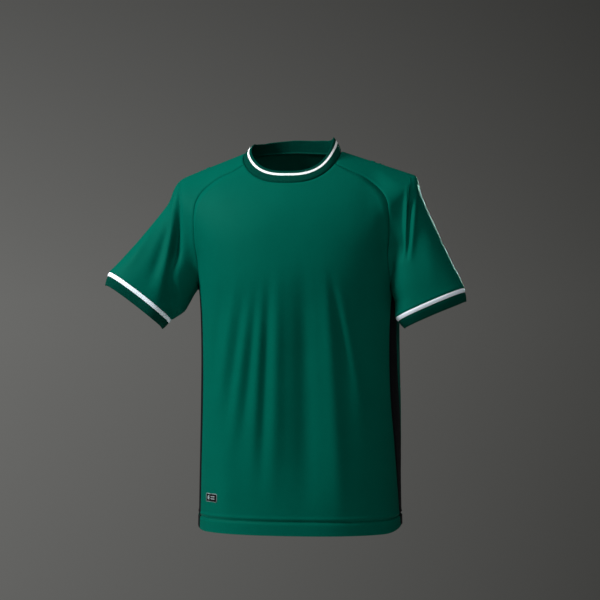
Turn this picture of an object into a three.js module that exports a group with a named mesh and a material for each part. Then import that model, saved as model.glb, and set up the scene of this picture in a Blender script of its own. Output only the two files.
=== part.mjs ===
// A short-sleeved football jersey, open and hollow, in the shape it takes when it is worn.
// Millimetres, +Z up. The front faces -Y and the wearer's left is +X.
// The origin is the middle of the neck opening, level with the tops of the shoulders that carry it.
// The cloth follows one smooth form: a trunk, two sleeves and a shoulder slope, joined softly.
// Each sewn piece is a grid of points on that form, moved by the folds and closed into a thin wall.

import * as THREE from "three";

// Cloth
const CLOTH_THICK = 1.8;
const RIB_THICK = 2.6;
const LABEL_THICK = 1;
const SEAM_GAP = 0.4;

// Heights
const HEM_Z = -700;
const UNDERARM_Z = -259;

// Trunk sections, from the collar down: half width at the sides, depth to the front and to the back
// of the middle, how square the section is, and how far the trunk leans to the wearer's left.
const TRUNK = [
  { z: 60, width: 216, front: 48, back: 56, square: 2.4, lean: 0 },
  { z: 0, width: 216, front: 66, back: 78, square: 2.4, lean: 0 },
  { z: -40, width: 215, front: 82, back: 96, square: 2.4, lean: 0 },
  { z: -80, width: 212, front: 99, back: 110, square: 2.45, lean: 1 },
  { z: -120, width: 205, front: 113, back: 119, square: 2.45, lean: 3 },
  { z: -180, width: 194, front: 127, back: 126, square: 2.4, lean: 7 },
  { z: -235, width: 186, front: 133, back: 125, square: 2.35, lean: 10 },
  { z: -300, width: 183, front: 131, back: 120, square: 2.3, lean: 12 },
  { z: -380, width: 182.5, front: 127, back: 117, square: 2.3, lean: 13 },
  { z: -480, width: 184, front: 126, back: 118, square: 2.3, lean: 13.5 },
  { z: -600, width: 185, front: 126, back: 122, square: 2.35, lean: 12.5 },
  { z: -720, width: 187, front: 127, back: 126, square: 2.35, lean: 12.5 },
];

// Shoulder slope: the ridge from neck to shoulder point, and how it falls away to front and back.
const RIDGE = { neckX: 88, y: 4, fallFront: 0.062, fallBack: 0.042, power: 1.5, softNeck: 60 };
// Across the middle the two sides' shoulder slopes run into each other over this half width.
const SLOPE_BLEND = 50;

// Sleeves. shoulder is the shoulder point and cuff the middle of the sleeve's end, seen from the
// front. tilt is the sleeve's lean from plumb and underUp how far up it the underarm lies. The lines
// give, up the sleeve from its end, how far its outer edge and underside stand from its middle line.
// end says how the cuff's seam is lifted, and how much more outwards, to the front and to the back.
const SLEEVES = {
  left: {
    side: 1,
    neckZ: -7,
    softTip: 6,
    shoulder: { x: 228, z: -54.5 },
    cuff: { x: 255, y: -60, z: -289 },
    tilt: 19,
    underUp: 49,
    cuffHalf: 66,
    cuffDepth: 37,
    end: { lift: 1.8, out: 0.08, front: 0.08, back: 0.1 },
    bandLean: 0.1,
    taper: 0.3,
    lines: [
      { up: 0, outer: 69, under: 66 },
      { up: 12, outer: 68, under: 62 },
      { up: 25, outer: 66.5, under: 58 },
      { up: 49, outer: 63, under: 56.5 },
      { up: 95, outer: 57, under: 41 },
      { up: 150, outer: 51, under: 30 },
      { up: 200, outer: 47, under: 25 },
      { up: 235, outer: 46, under: 24 },
    ],
  },
  right: {
    side: -1,
    neckZ: -8,
    softTip: 19,
    shoulder: { x: -222, z: -60 },
    cuff: { x: -281, y: -46, z: -276 },
    tilt: 35,
    underUp: 77,
    cuffHalf: 73,
    cuffDepth: 38,
    end: { lift: 3.5, out: 0.03, front: 0.27, back: 0.12 },
    bandLean: -0.08,
    taper: 0.26,
    lines: [
      { up: 0, outer: 73, under: 74 },
      { up: 26, outer: 68.5, under: 84 },
      { up: 42, outer: 66.5, under: 83 },
      { up: 62, outer: 64.5, under: 80 },
      { up: 80, outer: 63, under: 79 },
      { up: 100, outer: 62, under: 75 },
      { up: 120, outer: 61, under: 70 },
      { up: 154, outer: 60, under: 64 },
      { up: 182, outer: 60, under: 58 },
      { up: 235, outer: 68, under: 50 },
    ],
  },
};
const SLEEVE_DEPTH = [
  { up: 0, grow: 0, y: 0 },
  { up: 60, grow: 10, y: 14 },
  { up: 120, grow: 18, y: 34 },
  { up: 180, grow: 20, y: 46 },
  { up: 240, grow: 14, y: 50 },
];
const SLEEVE_SQUARE = 2.2;
const LET_GO = 10;
const UNDERARM_SOFT = { low: 6, high: 34, z0: -262, z1: -170 };

// Neck seam, in plan and in height.
const NECK = { half: 88, front: 88, back: 70, square: 2.4, sideZ: -10, frontZ: -69.5, backZ: 10 };
const RAGLAN_AT_NECK = { front: 116, back: 52 };

// Raglan seams between neck and underarm, seen from the front and from the back.
const RAGLAN = {
  left: {
    front: [
      { x: 111, z: -47 },
      { x: 139, z: -60 },
      { x: 164, z: -80 },
      { x: 179, z: -102 },
      { x: 183, z: -124 },
      { x: 184, z: -162 },
      { x: 182, z: -212 },
    ],
    back: [
      { x: 98, z: -26 },
      { x: 130, z: -60 },
      { x: 155, z: -100 },
      { x: 171, z: -146 },
      { x: 180, z: -202 },
    ],
  },
  right: {
    front: [
      { x: -102, z: -46 },
      { x: -132, z: -60 },
      { x: -158, z: -82 },
      { x: -170, z: -104 },
      { x: -173, z: -124 },
      { x: -173, z: -162 },
      { x: -168, z: -212 },
    ],
    back: [
      { x: -98, z: -26 },
      { x: -130, z: -60 },
      { x: -154, z: -100 },
      { x: -168, z: -146 },
      { x: -174, z: -202 },
    ],
  },
};

// Side panels: where their front and back seams lie, front to back, at each height.
const SIDE_PANEL = {
  left: [
    { z: UNDERARM_Z, front: -48, back: -24 },
    { z: -300, front: -54, back: -25 },
    { z: -355, front: -56, back: -25 },
    { z: -455, front: -54, back: -16 },
    { z: -530, front: -44, back: 6 },
    { z: -600, front: -32, back: 30 },
    { z: HEM_Z, front: -16, back: 54 },
  ],
  right: [
    { z: UNDERARM_Z, front: -40, back: -14 },
    { z: -300, front: -48, back: -12 },
    { z: -355, front: -49, back: -10 },
    { z: -455, front: -50, back: -2 },
    { z: -560, front: -50, back: 10 },
    { z: HEM_Z, front: -50, back: 22 },
  ],
};

// Folds, seen from the front: top, middle and bottom of the fold's line, its half width there and
// its height, which is negative in a trough. fade is the share of its length over which it dies away.
const FOLDS = [
  { face: -1, top: [-118, -262], mid: [-124, -330], end: [-134, -450], wide: [8, 12], high: 2.2, fade: 0.4 },
  { face: -1, top: [-92, -240], mid: [-108, -320], end: [-122, -450], wide: [7, 10], high: -2.4, fade: 0.35 },
  { face: -1, top: [-80, -262], mid: [-86, -350], end: [-102, -500], wide: [8, 12], high: 2.6, fade: 0.4 },
  { face: -1, top: [-54, -250], mid: [-54, -370], end: [-64, -560], wide: [8, 14], high: 3.4, fade: 0.4 },
  { face: -1, top: [-36, -256], mid: [-38, -370], end: [-48, -560], wide: [8, 11], high: -3, fade: 0.4 },
  { face: -1, top: [-16, -232], mid: [-20, -350], end: [-34, -560], wide: [8, 12], high: 3.2, fade: 0.4 },
  { face: -1, top: [30, -200], mid: [31, -360], end: [24, -640], wide: [13, 22], high: -4.6, fade: 0.4 },
  { face: -1, top: [60, -225], mid: [58, -380], end: [80, -700], wide: [9, 18], high: 4.2, fade: 0.3 },
  { face: -1, top: [77, -232], mid: [84, -290], end: [104, -400], wide: [8, 10], high: -2.6, fade: 0.4 },
  { face: -1, top: [92, -232], mid: [118, -345], end: [146, -520], wide: [9, 15], high: 3.8, fade: 0.35 },
  { face: -1, top: [-112, -480], mid: [-108, -600], end: [-104, -720], wide: [16, 22], high: 3, fade: 0.4 },
  { face: -1, top: [-30, -520], mid: [-26, -620], end: [-24, -720], wide: [18, 26], high: 3, fade: 0.4 },
  { face: -1, top: [136, -480], mid: [134, -600], end: [132, -720], wide: [14, 22], high: 3.2, fade: 0.4 },
  { face: 1, top: [-96, -250], mid: [-104, -420], end: [-112, -690], wide: [14, 24], high: 5, fade: 0.3 },
  { face: 1, top: [-44, -280], mid: [-48, -450], end: [-54, -700], wide: [14, 22], high: -5, fade: 0.3 },
  { face: 1, top: [8, -250], mid: [6, -430], end: [4, -690], wide: [16, 26], high: 5.5, fade: 0.3 },
  { face: 1, top: [58, -270], mid: [62, -440], end: [66, -700], wide: [14, 22], high: -4.6, fade: 0.3 },
  { face: 1, top: [104, -250], mid: [114, -420], end: [120, -690], wide: [14, 24], high: 5, fade: 0.3 },
  // wearer's right sleeve
  { face: -1, top: [-206, -62], mid: [-212, -155], end: [-238, -290], wide: [9, 13], high: 6, fade: 0.25 },
  { face: -1, top: [-203, -60], mid: [-202, -165], end: [-204, -300], wide: [9, 17], high: -12, fade: 0.3 },
  { face: -1, top: [-226, -140], mid: [-243, -205], end: [-258, -285], wide: [8, 12], high: -4.5, fade: 0.4 },
  { face: -1, top: [-244, -135], mid: [-272, -182], end: [-310, -240], wide: [8, 13], high: 3, fade: 0.4 },
  { face: 1, top: [-224, -70], mid: [-224, -160], end: [-226, -290], wide: [9, 15], high: -10, fade: 0.3 },
  { face: 1, top: [-250, -110], mid: [-268, -180], end: [-290, -260], wide: [9, 14], high: 5, fade: 0.35 },
  // wearer's left sleeve
  { face: -1, top: [212, -70], mid: [209, -150], end: [200, -266], wide: [8, 10], high: 3.5, fade: 0.3 },
  { face: -1, top: [219, -66], mid: [216, -150], end: [203, -280], wide: [8, 10], high: -5, fade: 0.3 },
  { face: -1, top: [228, -66], mid: [227, -130], end: [216, -230], wide: [8, 10], high: 3.5, fade: 0.3 },
  { face: 1, top: [218, -70], mid: [214, -150], end: [206, -270], wide: [8, 13], high: -8, fade: 0.3 },
  { face: 1, top: [240, -110], mid: [250, -190], end: [256, -280], wide: [9, 13], high: 4.5, fade: 0.35 },
];
const FACE_BLEND = { from: 0.05, to: 0.45 };

// Collar: how far its top edge stands in from and above the neck seam, round from the back of the
// neck by way of the wearer's left.
const COLLAR = [
  { turn: -60, inset: 12, rise: 20 },
  { turn: 0, inset: 6, rise: 23 },
  { turn: 50, inset: 9, rise: 25 },
  { turn: 90, inset: 14, rise: 26 },
  { turn: 130, inset: 13, rise: 21 },
  { turn: 180, inset: 12.5, rise: 22 },
  { turn: 230, inset: 14, rise: 20 },
  { turn: 270, inset: 15, rise: 16 },
  { turn: 300, inset: 12, rise: 20 },
  { turn: 360, inset: 6, rise: 23 },
  { turn: 410, inset: 9, rise: 25 },
];
const COLLAR_BULGE = 1.6;

// Cuffs: white tape, then rib.
const TAPE_DEEP = 7.2;
const CUFF_DEEP = 16;

// The hem curves up at the sides: from this share of the half width, by this much, fading upwards.
const HEM_CORNER = { from: 0.86, high: 12, fade: 50 };

// Label near the hem, on the wearer's right.
const LABEL = { x: -138, z: -637, wide: 20, tall: 16, lift: 0.4 };

// Grids: cells across and along each piece
const CELLS = { frontAcross: 40, backAcross: 24, trunkRows: 15, raglanRows: 10, sleeveRows: 10 };
const ARC_CELLS = 12;
const UNDER_CELLS = 2;
const COLLAR_STEPS = 56;

// Colours of the cloth
const FINISH = {
  green: { color: 0x00604c, roughness: 0.6, metalness: 0 },
  rib: { color: 0x00523f, roughness: 0.75, metalness: 0 },
  black: { color: 0x121216, roughness: 0.7, metalness: 0 },
  white: { color: 0xe9eef2, roughness: 0.6, metalness: 0 },
};

const radians = (degrees) => (degrees * Math.PI) / 180;
const mix = (a, b, t) => a + (b - a) * t;
const ramp = (from, to, x) => {
  const t = Math.min(1, Math.max(0, (x - from) / (to - from)));
  return t * t * (3 - 2 * t);
};
const point = (x, y, z) => new THREE.Vector3(x, y, z);

// Greater and lesser of two distances, rounded where they are nearly equal.
function softMax(a, b, soft) {
  const near = Math.max(soft - Math.abs(a - b), 0) / soft;
  return Math.max(a, b) + (near * near * soft) / 4;
}
const softMin = (a, b, soft) => -softMax(-a, -b, soft);

// A smooth curve through one column of a table.
function column(table, along, name) {
  const rows = [...table].sort((p, q) => p[along] - q[along]);
  const at = rows.map((row) => row[along]);
  const value = rows.map((row) => row[name]);
  const last = rows.length - 1;
  const slope = value.map((_, i) => {
    const before = Math.max(i - 1, 0);
    const after = Math.min(i + 1, last);
    return (value[after] - value[before]) / (at[after] - at[before]);
  });
  return (x) => {
    const k = Math.min(Math.max(at.findIndex((a) => a > x) - 1, x >= at[last] ? last - 1 : 0), last - 1);
    const step = at[k + 1] - at[k];
    const t = Math.min(1, Math.max(0, (x - at[k]) / step));
    const [t2, t3] = [t * t, t * t * t];
    return (
      (2 * t3 - 3 * t2 + 1) * value[k] +
      (t3 - 2 * t2 + t) * step * slope[k] +
      (3 * t2 - 2 * t3) * value[k + 1] +
      (t3 - t2) * step * slope[k + 1]
    );
  };
}

const trunk = {
  width: column(TRUNK, "z", "width"),
  front: column(TRUNK, "z", "front"),
  back: column(TRUNK, "z", "back"),
  square: column(TRUNK, "z", "square"),
  lean: column(TRUNK, "z", "lean"),
};
const sleeveGrow = column(SLEEVE_DEPTH, "up", "grow");
const sleeveBack = column(SLEEVE_DEPTH, "up", "y");

// Distance, along a spoke from the middle, to a rounded oblong: negative inside it.
function spokeDistance(a, b, halfA, halfB, square) {
  const share = (Math.abs(a / halfA) ** square + Math.abs(b / halfB) ** square) ** (1 / square);
  return share < 1e-6 ? -Math.min(halfA, halfB) : Math.hypot(a, b) * (1 - 1 / share);
}

function trunkField(x, y, z) {
  const depth = y < 0 ? trunk.front(z) : trunk.back(z);
  return spokeDistance(x - trunk.lean(z), y, trunk.width(z), depth, trunk.square(z));
}

// The sleeve's own directions: down it, and out from its middle line.
for (const sleeve of Object.values(SLEEVES)) {
  const { side, tilt, cuff, lines } = sleeve;
  const down = { x: side * Math.sin(radians(tilt)), z: -Math.cos(radians(tilt)) };
  const out = { x: Math.cos(radians(tilt)) * side, z: Math.sin(radians(tilt)) };
  const place = ({ x, z }) => ({
    up: -((x - cuff.x) * down.x + (z - cuff.z) * down.z),
    out: (x - cuff.x) * out.x + (z - cuff.z) * out.z,
  });
  Object.assign(sleeve, { down, out, place, outer: column(lines, "up", "outer"), under: column(lines, "up", "under") });
}

function sleeveField(sleeve, x, y, z) {
  const at = sleeve.place({ x, z });
  const reach = at.out > 0 ? sleeve.outer(at.up) : sleeve.under(at.up);
  const depth = sleeve.cuffDepth + sleeveGrow(at.up);
  const middle = sleeve.cuff.y + sleeveBack(at.up);
  return spokeDistance(at.out, y - middle, reach, depth, SLEEVE_SQUARE);
}

// Height above the shoulder slope, measured square to it.
function slopeField(x, y, z) {
  const share = ramp(-SLOPE_BLEND, SLOPE_BLEND, x);
  const grades = [SLEEVES.right, SLEEVES.left].map(
    ({ shoulder, side, neckZ }) => (neckZ - shoulder.z) / (shoulder.x * side - RIDGE.neckX),
  );
  const grade = mix(grades[0], grades[1], share);
  const ridge = mix(SLEEVES.right.neckZ, SLEEVES.left.neckZ, share) - grade * (Math.hypot(x, 20) - RIDGE.neckX);
  const rate = y < RIDGE.y ? RIDGE.fallFront : RIDGE.fallBack;
  const fall = rate * Math.abs(y - RIDGE.y) ** RIDGE.power;
  const steep = rate * RIDGE.power * Math.abs(y - RIDGE.y) ** (RIDGE.power - 1);
  return (z - ridge + fall) / Math.hypot(1, grade, steep);
}

// The whole form the cloth lies on: negative inside, zero at the cloth's outer face. Below the
// underarm the trunk's pieces let go of the sleeve and the sleeve lets go of the trunk.
function wornForm(x, y, z, part = "both") {
  const name = x > 0 ? "left" : "right";
  const sleeve = SLEEVES[name];
  const { low, high, z0, z1 } = UNDERARM_SOFT;
  const soft = mix(low, high, ramp(z0, z1, z));
  const sleeveOff = part === "trunk" ? Math.max(0, UNDERARM_Z + LET_GO - z) * 3 : 0;
  const trunkOff = part === "sleeve" ? Math.max(0, sleeve.underUp + LET_GO - sleeve.place({ x, z }).up) * 3 : 0;
  const body = softMin(trunkField(x, y, z) + trunkOff, sleeveField(sleeve, x, y, z) + sleeveOff, soft);
  const slopeSoft = mix(RIDGE.softNeck, sleeve.softTip, ramp(140, 215, Math.abs(x)));
  return softMax(body, slopeField(x, y, z), slopeSoft);
}

function outward(p, part) {
  const e = 0.5;
  return point(
    wornForm(p.x + e, p.y, p.z, part) - wornForm(p.x - e, p.y, p.z, part),
    wornForm(p.x, p.y + e, p.z, part) - wornForm(p.x, p.y - e, p.z, part),
    wornForm(p.x, p.y, p.z + e, part) - wornForm(p.x, p.y, p.z - e, part),
  ).normalize();
}

// Slides a nearby point onto the form, square to it.
function settle(p, part) {
  const q = p.clone();
  for (let i = 0; i < 14; i++) {
    const n = outward(q, part);
    const here = wornForm(q.x, q.y, q.z, part);
    const rate = wornForm(q.x + n.x, q.y + n.y, q.z + n.z, part) - here;
    q.addScaledVector(n, -here / Math.max(rate, 0.4));
  }
  return q;
}

// Where a ray from inside first leaves the form.
function castOut(from, direction, part) {
  const d = direction.clone().normalize();
  const at = (r) => wornForm(from.x + d.x * r, from.y + d.y * r, from.z + d.z * r, part);
  let [near, far] = [0, 2];
  while (at(far) < 0 && far < 400) [near, far] = [far, far + 2];
  for (let i = 0; i < 24; i++) {
    const half = (near + far) / 2;
    if (at(half) < 0) near = half;
    else far = half;
  }
  return from.clone().addScaledVector(d, far);
}

// How far the folds lift or sink the cloth at a point of the form.
function foldHeight(p, n) {
  let height = 0;
  for (const { face, top, mid, end, wide, high, fade } of FOLDS) {
    const t = (top[1] - p.z) / (top[1] - end[1]);
    if (t <= 0 || t >= 1) continue;
    const bend = (top[1] - mid[1]) / (top[1] - end[1]);
    const pull = mid[0] - mix(top[0], end[0], bend);
    const line = mix(top[0], end[0], t) + (pull * t * (1 - t)) / (bend * (1 - bend));
    const off = (p.x - line) / mix(wide[0], wide[1], t);
    if (Math.abs(off) > 3) continue;
    const along = ramp(0, fade, t) * (1 - ramp(1 - fade, 1, t));
    const facing = ramp(FACE_BLEND.from, FACE_BLEND.to, n.y * face);
    height += high * along * facing * Math.exp(-off * off);
  }
  return height;
}

// Points spaced evenly along a smooth line through the given ones.
function evenly(points, cells) {
  return new THREE.CatmullRomCurve3(points, false, "centripetal").getSpacedPoints(cells);
}

// The neck seam. turn runs from the back of the neck by way of the wearer's left, in degrees.
function neckSeam(turn) {
  const [s, c] = [Math.sin(radians(turn)), Math.cos(radians(turn))];
  const depth = c > 0 ? NECK.back : NECK.front;
  const power = 2 / NECK.square;
  const x = NECK.half * Math.sign(s) * Math.abs(s) ** power;
  const y = depth * Math.sign(c) * Math.abs(c) ** power;
  const end = c > 0 ? NECK.backZ : NECK.frontZ;
  const z = NECK.sideZ + (end - NECK.sideZ) * Math.abs(y / depth);
  return settle(point(x, y, z));
}

// The underarm, where trunk and sleeve part, at a distance y from front to back.
function underarm(sleeve, y) {
  const sideX = (z) => {
    let [near, far] = [0, 260];
    for (let i = 0; i < 30; i++) {
      const half = (near + far) / 2;
      if (trunkField(half * sleeve.side + trunk.lean(z), y, z) < 0) near = half;
      else far = half;
    }
    return far * sleeve.side + trunk.lean(z);
  };
  let [low, top] = [UNDERARM_Z - 60, UNDERARM_Z + 90];
  for (let i = 0; i < 30; i++) {
    const half = (low + top) / 2;
    if (sleeveField(sleeve, sideX(half), y, half) < 0) top = half;
    else low = half;
  }
  return settle(point(sideX(low), y, low));
}

// The seams round one armhole, as rows of points shared by the pieces on both sides of them.
function armhole(name) {
  const sleeve = SLEEVES[name];
  const { side } = sleeve;
  const first = SIDE_PANEL[name][0];
  const under = Array.from({ length: UNDER_CELLS + 1 }, (_, i) =>
    underarm(sleeve, mix(first.front, first.back, i / UNDER_CELLS)),
  );
  const neckFront = neckSeam(side > 0 ? RAGLAN_AT_NECK.front : 360 - RAGLAN_AT_NECK.front);
  const neckBack = neckSeam(side > 0 ? RAGLAN_AT_NECK.back : 360 - RAGLAN_AT_NECK.back);
  const run = (neck, rows, face, low) => {
    const seen = rows.map(({ x, z }) => castOut(point(x, 0, z), point(0, face, 0))).reverse();
    const line = evenly([low, ...seen, neck], CELLS.raglanRows);
    return line.map((p, i) => (i === 0 || i === line.length - 1 ? p : settle(p)));
  };
  return {
    front: run(neckFront, RAGLAN[name].front, -1, under[0]),
    back: run(neckBack, RAGLAN[name].back, 1, under[UNDER_CELLS]),
    under,
  };
}
const ARMHOLES = { left: armhole("left"), right: armhole("right") };

// Trunk heights from hem to underarm, and the seams of the side panels at each.
function trunkSeam(name, edge) {
  const read = column(SIDE_PANEL[name], "z", edge);
  const low = ARMHOLES[name].under[edge === "front" ? 0 : UNDER_CELLS];
  return Array.from({ length: CELLS.trunkRows + 1 }, (_, i) => {
    const t = i / CELLS.trunkRows;
    if (t === 1) return low;
    const z = mix(HEM_Z, low.z, t);
    return castOut(point(trunk.lean(z), read(mix(HEM_Z, UNDERARM_Z, t)), z), point(SLEEVES[name].side, 0, 0), "trunk");
  });
}

// A grid of points as rows, each row running with the cloth's outer face on the right-hand side.
function sheetOf(rows) {
  const across = rows[0].length;
  const cells = [];
  for (let i = 0; i + 1 < rows.length; i++)
    for (let j = 0; j + 1 < across; j++) {
      const a = i * across + j;
      cells.push([a, a + 1, a + across + 1, a + across]);
    }
  return { base: rows.flat(), cells };
}

// Edges that belong to one cell only, in the order that keeps the cell on their left.
function freeEdges(cells) {
  const seen = new Set(cells.flatMap((c) => c.map((a, i) => `${a},${c[(i + 1) % c.length]}`)));
  return cells
    .flatMap((c) => c.map((a, i) => [a, c[(i + 1) % c.length]]))
    .filter(([a, b]) => !seen.has(`${b},${a}`));
}

// Draws the free edges in by half a seam gap, along the cloth.
function drawIn(points, normals, cells) {
  const pulls = points.map(() => []);
  for (const [a, b] of freeEdges(cells)) {
    const along = points[b].clone().sub(points[a]).normalize();
    for (const v of [a, b]) pulls[v].push(normals[v].clone().cross(along).normalize());
  }
  return points.map((p, v) => {
    const [one, two] = pulls[v];
    if (!two) return p;
    const both = one.clone().add(two);
    return p.clone().addScaledVector(both, SEAM_GAP / 2 / Math.max(1 + one.dot(two), 0.4));
  });
}

// Closes a sheet into a wall: its outer face, the same moved in by the thickness, and its edges.
function wall(outer, inner, cells) {
  const count = outer.length;
  const faces = [];
  const quad = (a, b, c, d) => faces.push(a, b, c, a, c, d);
  for (const [a, b, c, d] of cells) {
    quad(a, b, c, d);
    quad(a + count, d + count, c + count, b + count);
  }
  for (const [a, b] of freeEdges(cells)) quad(b, a, a + count, b + count);
  const geometry = new THREE.BufferGeometry();
  const flat = [...outer, ...inner].flatMap((p) => [p.x, p.y, p.z]);
  geometry.setAttribute("position", new THREE.Float32BufferAttribute(flat, 3));
  geometry.setIndex(faces);
  geometry.computeVertexNormals();
  return geometry;
}

// A wall of cloth on the form, with its folds, whose outer face is lifted by the given amount.
function hemRise({ x, z }) {
  const { from, high, fade } = HEM_CORNER;
  const side = ramp(from, 1, Math.abs(x - trunk.lean(z)) / trunk.width(z));
  return high * side * (1 - ramp(HEM_Z, HEM_Z + fade, z));
}

function cloth({ base, cells, part }, thick = CLOTH_THICK, lift = 0) {
  const normals = base.map((p) => outward(p, part));
  const folded = base.map((p, i) => p.clone().addScaledVector(normals[i], foldHeight(p, normals[i]) + lift));
  if (part === "trunk") folded.forEach((p, i) => (p.z += hemRise(base[i])));
  const outer = drawIn(folded, normals, cells);
  const inner = outer.map((p, i) => p.clone().addScaledVector(normals[i], -thick));
  return wall(outer, inner, cells);
}

// Front or back panel: rows from hem to neck, each a fan of rays from the trunk's middle.
function bodyPanel(face, across) {
  const [start, end] = face < 0 ? ["right", "left"] : ["left", "right"];
  const edge = face < 0 ? "front" : "back";
  const seam = (name) => [...trunkSeam(name, edge), ...ARMHOLES[name][edge].slice(1)];
  const [from, to] = [seam(start), seam(end)];
  const neckTurn = RAGLAN_AT_NECK[edge];
  const neck = (t) => neckSeam(face < 0 ? mix(360 - neckTurn, neckTurn, t) : mix(neckTurn, -neckTurn, t));
  const last = from.length - 1;
  const bearing = (p) => Math.atan2(p.x - trunk.lean(p.z), p.y * face);
  const rows = from.map((a, i) => {
    const b = to[i];
    const rise = Math.max(0, (i - CELLS.trunkRows) / CELLS.raglanRows);
    return Array.from({ length: across + 1 }, (_, j) => {
      const t = j / across;
      if (j === 0) return a;
      if (j === across) return b;
      const top = neck(t);
      if (i === last) return top;
      const dip = top.z - mix(from[last].z, to[last].z, t);
      const z = mix(a.z, b.z, t) + dip * rise ** 1.6;
      const angle = mix(mix(bearing(a), bearing(b), t), bearing(top), rise ** 3);
      return castOut(point(trunk.lean(z), 0, z), point(Math.sin(angle), face * Math.cos(angle), 0), "trunk");
    });
  });
  return { ...sheetOf(rows), part: "trunk" };
}

// Side panel: rows from hem to underarm between its two seams.
function sidePanel(name) {
  const { side } = SLEEVES[name];
  const order = side > 0 ? ["front", "back"] : ["back", "front"];
  const [from, to] = order.map((edge) => trunkSeam(name, edge));
  const top = side > 0 ? ARMHOLES[name].under : [...ARMHOLES[name].under].reverse();
  const rows = from.map((a, i) =>
    top.map((p, j) => {
      if (i === from.length - 1) return p;
      const middle = a.clone().lerp(to[i], j / UNDER_CELLS);
      const z = middle.z;
      if (j === 0 || j === UNDER_CELLS) return middle;
      return castOut(point(trunk.lean(z), middle.y, z), point(side, 0, 0), "trunk");
    }),
  );
  return { ...sheetOf(rows), part: "trunk" };
}

// Rings of a sleeve from cuff to armhole, then arcs from armhole to neck. Both start at the front
// seam and go over the sleeve's outer line to the back seam; a ring closes under the arm.
function sleeveRows(name) {
  const sleeve = SLEEVES[name];
  const { side, down, out, cuff, cuffHalf, cuffDepth, shoulder, end } = sleeve;
  const { front, back, under } = ARMHOLES[name];
  const spread = 2 * ARC_CELLS;
  const around = spread + UNDER_CELLS;
  const middle = under[UNDER_CELLS / 2];
  const tip = point(shoulder.x, middle.y, shoulder.z);
  const reach = { out: tip.clone().sub(middle).multiplyScalar(0.5), front: 50, back: 80, bow: side * 15 };
  const centre = middle.clone().add(reach.out);
  const outAtCuff = point(out.x, 0, out.z).multiplyScalar(cuffHalf);
  const cuffMiddle = point(cuff.x, cuff.y, cuff.z);

  const angleOf = (p) => Math.asin(Math.min(1, Math.abs(p.y - centre.y) / (p.y < centre.y ? reach.front : reach.back)));
  const [first, last] = [Math.PI - angleOf(under[0]), Math.PI + angleOf(under[UNDER_CELLS])];
  const turns = Array.from({ length: around }, (_, j) => {
    if (j <= ARC_CELLS) return mix(first, 0, j / ARC_CELLS);
    if (j <= spread) return mix(0, last - 2 * Math.PI, (j - ARC_CELLS) / ARC_CELLS);
    return mix(last, first, (j - spread) / UNDER_CELLS);
  });
  const armRing = turns.map((turn) => {
    const ahead = Math.sin(turn);
    return centre
      .clone()
      .addScaledVector(reach.out, Math.cos(turn))
      .add(point(reach.bow * Math.abs(ahead), -ahead * (ahead > 0 ? reach.front : reach.back), 0));
  });
  const upSleeve = point(-down.x, 0, -down.z);
  const cuffRing = turns.map((turn) => {
    const [outer, ahead] = [Math.cos(turn) * cuffHalf, Math.sin(turn) * cuffDepth];
    return cuffMiddle
      .clone()
      .addScaledVector(outAtCuff, Math.cos(turn))
      .add(point(0, -ahead, 0))
      .addScaledVector(upSleeve, end.lift + end.out * outer + (ahead > 0 ? end.front * ahead : -end.back * ahead));
  });
  const rings = Array.from({ length: CELLS.sleeveRows }, (_, i) =>
    cuffRing.map((p, j) => settle(p.clone().lerp(armRing[j], i / CELLS.sleeveRows), "sleeve")),
  );

  const neck = Array.from({ length: spread + 1 }, (_, j) => {
    const turn = mix(RAGLAN_AT_NECK.front, RAGLAN_AT_NECK.back, j / spread);
    return neckSeam(side > 0 ? turn : 360 - turn);
  });
  const arcs = front.map((start, i) => {
    if (i === CELLS.raglanRows) return neck;
    const t = i / CELLS.raglanRows;
    return neck.map((p, j) => {
      if (j === 0) return start;
      if (j === spread) return back[i];
      const across = j / spread;
      const guess = armRing[j].clone().lerp(p, t);
      const pullStart = start.clone().sub(armRing[0].clone().lerp(neck[0], t));
      const pullEnd = back[i].clone().sub(armRing[spread].clone().lerp(neck[spread], t));
      return settle(guess.addScaledVector(pullStart, 1 - across).addScaledVector(pullEnd, across), "sleeve");
    });
  });
  const closing = under.slice(1, UNDER_CELLS).reverse();
  return { rings: [...rings, [...arcs[0], ...closing]], arcs };
}

// Sleeve: a tube from cuff to armhole that opens into a flap over the shoulder.
function sleevePanel(name) {
  const { side } = SLEEVES[name];
  const { rings, arcs } = sleeveRows(name);
  const around = rings[0].length;
  const wide = arcs[0].length;
  const base = [...rings.flat(), ...arcs.slice(1).flat()];
  const cells = [];
  const add = (a, b, c, d) => cells.push(side > 0 ? [a, b, c, d] : [b, a, d, c]);
  for (let i = 0; i + 1 < rings.length; i++)
    for (let j = 0; j < around; j++) {
      const k = (j + 1) % around;
      add(i * around + j, i * around + k, (i + 1) * around + k, (i + 1) * around + j);
    }
  const lastRing = (rings.length - 1) * around;
  const rowStart = (i) => (i === 0 ? lastRing : rings.length * around + (i - 1) * wide);
  for (let i = 0; i + 1 < arcs.length; i++)
    for (let j = 0; j + 1 < wide; j++)
      add(rowStart(i) + j, rowStart(i) + j + 1, rowStart(i + 1) + j + 1, rowStart(i + 1) + j);
  return { base, cells, part: "sleeve", end: rings[0] };
}

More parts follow.
